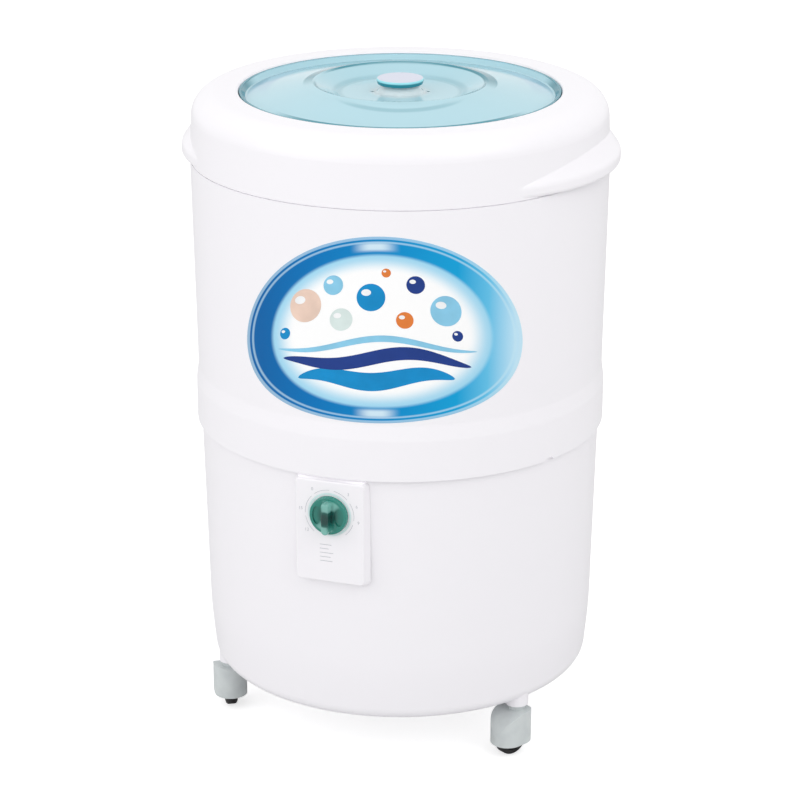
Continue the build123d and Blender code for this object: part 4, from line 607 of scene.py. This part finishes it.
def stickerPrint():
    # printed vinyl: a blue ring that is deep at the left, bright at top and bottom and pale at the
    # right, round a white field. Its UV map holds the sticker's own plane, 0 to 1 each way
    material, tree = newMaterial("printedVinylOval")
    surface = addNode(tree, "ShaderNodeUVMap", uv_map="ovalPlane")
    apart = addNode(tree, "ShaderNodeSeparateXYZ", {"Vector": surface.outputs["UV"]}).outputs
    across, up = (difference(tree, product(tree, apart[way], 2.0), 1.0) for way in "XY")
    outward = axisDistance(tree, across, up)
    # the white field is a smaller oval, a little lower
    field = axisDistance(tree, product(tree, across, 1 / sticker["fieldWidth"]),
                         product(tree, total(tree, up, 0.01), 1 / sticker["fieldHeight"]))
    # blue deepens to the left and pales to the right
    sideways = addNode(tree, "ShaderNodeMapRange", {
        "Value": across, "From Min": -0.85, "From Max": 0.95,
    })
    ramp = addNode(tree, "ShaderNodeValToRGB", {"Fac": sideways.outputs["Result"]})
    stops = ramp.color_ramp.elements
    for order, (place, hexColour) in enumerate((sticker["ring"][0], sticker["ring"][-1])):
        stops[order].position, stops[order].color = place, toLinear(hexColour)
    for place, hexColour in sticker["ring"][1:-1]:
        stops.new(place).color = toLinear(hexColour)
    # bright glints along the middle of the band where it turns over at top and bottom
    along = product(tree, smoothBand(tree, outward, 0.83, 0.88),
                    difference(tree, 1.0, smoothBand(tree, outward, 0.91, 0.96)))
    aside = addNode(tree, "ShaderNodeMath", {0: total(tree, across, 0.02)}, operation="ABSOLUTE")
    inMiddle = difference(tree, 1.0, smoothBand(tree, aside.outputs[0], 0.03, 0.17))
    glint = product(tree, along, inMiddle, 0.85)
    blue = mixColours(tree, glint, ramp.outputs["Color"], sticker["glint"])
    # two pale lines with a blue one between them along the edge
    outerLine = smoothBand(tree, outward, 0.968, 0.978)
    innerLine = product(tree, smoothBand(tree, outward, 0.925, 0.94),
                        difference(tree, 1.0, smoothBand(tree, outward, 0.945, 0.957)))
    pale = product(tree, greatest(tree, outerLine, innerLine), 0.55)
    rimmed = mixColours(tree, pale, blue, sticker["edgeLine"])
    # the field's edge fades from cyan to white
    inward = smoothBand(tree, field, 0.78, 1.0)
    shade = mixColours(tree, inward, sticker["field"], sticker["fieldShade"])
    finishMaterial(tree, addNode(tree, "ShaderNodeBsdfPrincipled", {
        "Base Color": mixColours(tree, smoothBand(tree, field, 0.985, 1.04), shade, rimmed),
        "Roughness": 0.28,
        "IOR": 1.5,
        "Specular IOR Level": 0.15,
    }))
    return material


def ovalSticker():
    # rings of an oval, the cosine and the sine of a whole turn times even shares of the way out,
    # wrapped on the shell; the last ring goes back to the wall and gives the vinyl its edge
    share = np.append(np.linspace(0.004, 1.0, sticker["rings"]), 1.002)
    turn = np.linspace(0, 2 * np.pi, sticker["spokes"], endpoint=False)
    across = share[:, None] * np.cos(turn)
    up = share[:, None] * np.sin(turn)
    lift = np.full(across.shape, sticker["lift"])
    lift[-1] = 0.0
    points = onShell(across, up, lift)
    faces = [face[::-1] for face in gridFaces(len(share), sticker["spokes"], True)]
    faces.append(list(range(sticker["spokes"])))
    piece = printPiece("oval_sticker", points, faces, stickerPrint())
    plane = np.stack([across, up], axis=-1).reshape(-1, 2) / 2 + 0.5
    layer = piece.data.uv_layers.new(name="ovalPlane")
    corners = np.zeros(len(piece.data.loops), np.int32)
    piece.data.loops.foreach_get("vertex_index", corners)
    layer.data.foreach_set("uv", plane[corners].astype(np.float32).ravel())


def printedDisc(name, across, up, radius, material, lift, heightShare=1.0):
    # a round spot of ink, radius in mm: its middle plus shares of the radius times the cosine and
    # the sine of a whole turn, as wide and as high on the shell as they are in mm
    turn = np.linspace(0, 2 * np.pi, 48, endpoint=False)
    share = np.linspace(0.02, 1.0, 5)
    halfWidth = np.radians(sticker["halfArc"]) * shellRadius(sticker["centreHeight"])
    offsetAcross = across + share[:, None] * radius * np.cos(turn) / halfWidth
    offsetUp = up + share[:, None] * radius * heightShare * np.sin(turn) / sticker["halfHeight"]
    points = onShell(offsetAcross, offsetUp, lift)
    faces = [face[::-1] for face in gridFaces(len(share), len(turn), True)]
    faces.append(list(range(len(turn))))
    printPiece(name, points, faces, material)


def waveBand(name, level, thick, phase, swing, material, lift):
    # a rolling band: its middle follows a sine across an oval field, as far as the field is wide
    # at its level, and its thickness, a sine raised to a power, runs out to a point at each end
    along = np.linspace(0, 1, 90)
    half = waveField["halfWidth"] * math.sqrt(1 - (level / waveField["halfHeight"]) ** 2)
    across = waveField["middle"] + half * (2 * along - 1)
    middle = level + swing * np.sin(2 * np.pi * (waveField["rolls"] * along + phase))
    width = thick * np.sin(np.pi * along) ** waveField["bluntness"]
    side = np.linspace(-0.5, 0.5, 7)
    heights = middle[None] + side[:, None] * width[None]
    points = onShell(np.repeat(across[None], len(side), axis=0), heights, lift)
    printPiece(name, points, gridFaces(len(side), len(along), False), material)


ovalSticker()

inks = {
    "navy": printedInk("navyInk", "#26418c"),
    "azure": printedInk("azureInk", "#1690cf"),
    "sky": printedInk("skyInk", "#8fd0ee"),
    "orange": printedInk("orangeInk", "#e8833f"),
    "peach": printedInk("peachInk", "#f0d3c2"),
    "mist": printedInk("mistInk", "#dbe9e6"),
    "white": printedInk("whiteInk", "#fbfcfd"),
}
# how far each print stands off the shell in mm, far less than shows
inkLift = {"wave": 0.18, "nextWave": 0.04, "bubble": 0.20, "shine": 0.25}

# the waves' oval field in parts of the sticker's half width and half height, how many times each
# wave rolls across it, and how bluntly it ends
waveField = {
    "halfWidth": 0.70, "halfHeight": 0.78, "middle": -0.03, "rolls": 1.35, "bluntness": 0.55,
}
# level, thickness and swing in parts of the sticker's half height, phase in turns:
# name, level, thickness, phase, swing, ink
waves = [
    ("wave_low", -0.50, 0.20, 0.10, 0.050, "azure"),
    ("wave_middle", -0.29, 0.15, 0.34, 0.055, "navy"),
    ("wave_high", -0.13, 0.07, 0.52, 0.050, "sky"),
]
for order, (name, level, thick, phase, swing, ink) in enumerate(waves):
    lift = inkLift["wave"] + inkLift["nextWave"] * order
    waveBand(name, level, thick, phase, swing, inks[ink], lift)

# place across and up in parts of the half width and half height, and radius in mm
bubbles = [
    (-0.50, 0.30, 17.0, "peach"),
    (-0.25, 0.13, 11.5, "mist"),
    (-0.30, 0.50, 10.0, "sky"),
    (-0.05, 0.36, 14.0, "azure"),
    (0.17, 0.12, 8.5, "orange"),
    (0.24, 0.50, 9.0, "navy"),
    (0.44, 0.24, 15.5, "sky"),
    (0.05, 0.62, 4.5, "orange"),
    (0.52, -0.02, 5.5, "navy"),
    (-0.66, 0.02, 6.0, "azure"),
]
# a bubble's shine: its place up and to the left for each mm of the bubble's radius, in the same
# parts, and its own radius and height as shares
shine = {"left": 0.0022, "up": 0.0038, "size": 0.34, "height": 0.7}
for order, (across, up, radius, ink) in enumerate(bubbles):
    printedDisc("bubble_%d" % order, across, up, radius, inks[ink], inkLift["bubble"])
    printedDisc("bubble_shine_%d" % order,
                across - shine["left"] * radius, up + shine["up"] * radius, shine["size"] * radius,
                inks["white"], inkLift["shine"], shine["height"])


# Printed marks on the control panel
print("panel print")

panelPrint = {
    "face": 213.6,              # mm in front of the axis
    "lift": 0.05,
    "haloInner": 20.6,
    "haloOuter": 23.0,
    "arcRadius": 25.6,
    "arcWidth": 0.45,
    "arcs": [(-140, -100), (-92, -48), (-38, 0), (10, 46), (56, 98), (108, 140)],
    "numeralRadius": 31.0,
    "numeralHeight": 4.6,
    "numerals": {"0": -36.0, "3": 40.0, "6": 68.0, "9": 100.0, "12": -128.0, "15": -84.0},
    "lineEnds": [(-11, 2), (-11, -1), (-11, 4), (-11, 1), (-11, 3)],
    "firstLine": -33.0,         # mm from the dial's middle
    "lineStep": 4.4,
    "lineThickness": 0.6,
}
# arcs and numerals are placed in degrees from the top, clockwise
greyInk = printedInk("greyPanelInk", "#c3c4cb", 0.4)
haloInk = printedInk("paleCyanInk", "#e4f7f8", 0.35)


def onPanel(across, up, lift):
    # from the panel's plane, in mm from the dial's middle, to the frame
    return np.stack([
        across,
        np.full(np.shape(across), -panelPrint["face"] - lift),
        dialHeight + up,
    ], axis=-1) * mm


def dialArc(name, inner, outer, start, end, material):
    # a flat band between two radii, from one angle to another: the radius times the sine of the
    # angle across and its cosine up, so angles run clockwise from the top
    whole = end - start >= 360
    angle = np.radians(np.linspace(start, end, 121, endpoint=not whole))
    radius = np.linspace(inner, outer, 3)[:, None]
    points = onPanel(radius * np.sin(angle), radius * np.cos(angle), panelPrint["lift"])
    faces = [face[::-1] for face in gridFaces(3, len(angle), whole)]
    printPiece(name, points, faces, material)


def printedBar(name, left, right, up, thick, material):
    # a short straight line of ink with softly rounded ends: half its thickness times 6 sines of
    # the way along, held between a quarter and one
    along = np.linspace(0, 1, 15)
    half = 0.5 * thick * np.clip(np.sin(np.pi * along) * 6, 0.25, 1.0)
    across = left + (right - left) * along
    heights = np.stack([up - half, up + half])
    points = onPanel(np.stack([across, across]), heights, panelPrint["lift"])
    printPiece(name, points, gridFaces(2, len(along), False), material)


def printedNumeral(text, across, up):
    # a plain numeral, cut from the built-in font, flat on the panel
    curve = bpy.data.curves.new("numeral_" + text, "FONT")
    curve.body = text
    curve.size = panelPrint["numeralHeight"] * mm
    curve.align_x = "CENTER"
    curve.align_y = "CENTER"
    holder = bpy.data.objects.new("numeralHolder", curve)
    bpy.context.scene.collection.objects.link(holder)
    bpy.context.view_layer.update()
    mesh = bpy.data.meshes.new_from_object(holder)
    bpy.data.objects.remove(holder)
    flat = np.zeros(len(mesh.vertices) * 3)
    mesh.vertices.foreach_get("co", flat)
    flat = flat.reshape(-1, 3) / mm
    placed = onPanel(flat[:, 0] + across, flat[:, 1] + up, panelPrint["lift"])
    mesh.vertices.foreach_set("co", placed.astype(np.float32).ravel())
    addPrint("numeral_" + text, mesh, greyInk)


dialArc("dial_halo", panelPrint["haloInner"], panelPrint["haloOuter"], 0, 360, haloInk)
for order, (start, end) in enumerate(panelPrint["arcs"]):
    dialArc("dial_arc_%d" % order, panelPrint["arcRadius"],
            panelPrint["arcRadius"] + panelPrint["arcWidth"], start, end, greyInk)
for text, angle in panelPrint["numerals"].items():
    turn = math.radians(angle)
    reach = panelPrint["numeralRadius"]
    printedNumeral(text, reach * math.sin(turn), reach * math.cos(turn))
for order, (left, right) in enumerate(panelPrint["lineEnds"]):
    height = panelPrint["firstLine"] - panelPrint["lineStep"] * order
    printedBar("panel_line_%d" % order, left, right, height, panelPrint["lineThickness"], greyInk)


# Floor, light and camera
print("stage")

stage = {
    "paper": "#dedede",
    "paperLift": 0.64,          # light added to the paper for the camera alone
    "paperReach": 6.0,          # m
    "aim": 0.35,                # m, height that the lamps face
    "room": 0.86,               # strength of the even light all round
    # azimuth and elevation in degrees, distance and size in m, power in W
    "lamps": {
        "key_lamp": (62, 38, 2.4, 1.6, 9.2),
        "fill_lamp": (-38, 25, 2.6, 2.0, 13),
        "top_lamp": (20, 80, 2.4, 1.6, 1.8),
    },
}


def seamlessFloor():
    # white paper: what the camera sees of it is lifted to plain white, less the machine's shadow
    material, tree = newMaterial("whitePaperSweep")
    coords = addNode(tree, "ShaderNodeTexCoord")
    paper = addNode(tree, "ShaderNodeBsdfPrincipled", {
        "Base Color": toLinear(stage["paper"]),
        "Roughness": softBlotches(tree, coords, 300, 0.86, 0.92),
    })
    path = addNode(tree, "ShaderNodeLightPath")
    lift = addNode(tree, "ShaderNodeEmission", {
        "Color": (1, 1, 1, 1),
        "Strength": stage["paperLift"],
    })
    dark = addNode(tree, "ShaderNodeEmission", {"Color": (0, 0, 0, 1), "Strength": 0.0})
    seen = addNode(tree, "ShaderNodeMixShader", {
        0: path.outputs["Is Camera Ray"], 1: dark.outputs[0], 2: lift.outputs[0],
    })
    whole = addNode(tree, "ShaderNodeAddShader", {0: paper.outputs[0], 1: seen.outputs[0]})
    finishMaterial(tree, whole)
    corners = np.array([[-1, -1, 0], [1, -1, 0], [1, 1, 0], [-1, 1, 0]]) * stage["paperReach"]
    mesh = bpy.data.meshes.new("paper_floor")
    mesh.from_pydata(corners.tolist(), [], [[0, 1, 2, 3]])
    mesh.materials.append(material)
    floor = bpy.data.objects.new("paper_floor", mesh)
    bpy.context.scene.collection.objects.link(floor)


def softLamp(name, azimuth, elevation, distance, size, power):
    # a square soft box that faces the machine's middle
    a, e = math.radians(azimuth), math.radians(elevation)
    outward = np.array([math.sin(a) * math.cos(e), -math.cos(a) * math.cos(e), math.sin(e)])
    lamp = bpy.data.lights.new(name, "AREA")
    lamp.shape = "SQUARE"
    lamp.size = size
    lamp.energy = power
    holder = bpy.data.objects.new(name, lamp)
    holder.location = outward * distance + np.array([0, 0, stage["aim"]])
    holder.rotation_euler = (math.radians(90 - elevation), 0, a)
    bpy.context.scene.collection.objects.link(holder)


def plainWorld(strength):
    # an even pale room, which the camera, glossy skins and glass see as plain white
    world = bpy.data.worlds.new("paleRoom")
    bpy.context.scene.world = world
    world.use_nodes = True
    tree = world.node_tree
    tree.nodes.clear()
    path = addNode(tree, "ShaderNodeLightPath").outputs
    seen = greatest(tree, path["Is Camera Ray"], path["Is Glossy Ray"], path["Is Transmission Ray"])
    room = addNode(tree, "ShaderNodeBackground", {"Color": (1, 1, 1, 1), "Strength": strength})
    white = addNode(tree, "ShaderNodeBackground", {"Color": (1, 1, 1, 1), "Strength": 1.0})
    mix = addNode(tree, "ShaderNodeMixShader", {0: seen, 1: room.outputs[0], 2: white.outputs[0]})
    addNode(tree, "ShaderNodeOutputWorld", {"Surface": mix.outputs[0]})


def productCamera():
    # long lens above the lid, turned a little to the machine's left
    a = math.radians(shot["azimuth"])
    data = bpy.data.cameras.new("productCamera")
    data.lens = shot["lens"]
    data.sensor_width = 36.0
    data.shift_x = shot["shift"] / imageWidth
    camera = bpy.data.objects.new("productCamera", data)
    camera.location = (
        shot["distance"] * math.sin(a), -shot["distance"] * math.cos(a), shot["height"],
    )
    camera.rotation_euler = (math.radians(90 - shot["pitch"]), 0, a)
    bpy.context.scene.collection.objects.link(camera)
    bpy.context.scene.camera = camera


seamlessFloor()
for name, settings in stage["lamps"].items():
    softLamp(name, *settings)
plainWorld(stage["room"])
productCamera()
bpy.context.scene.view_settings.view_transform = "Standard"

print("finish")
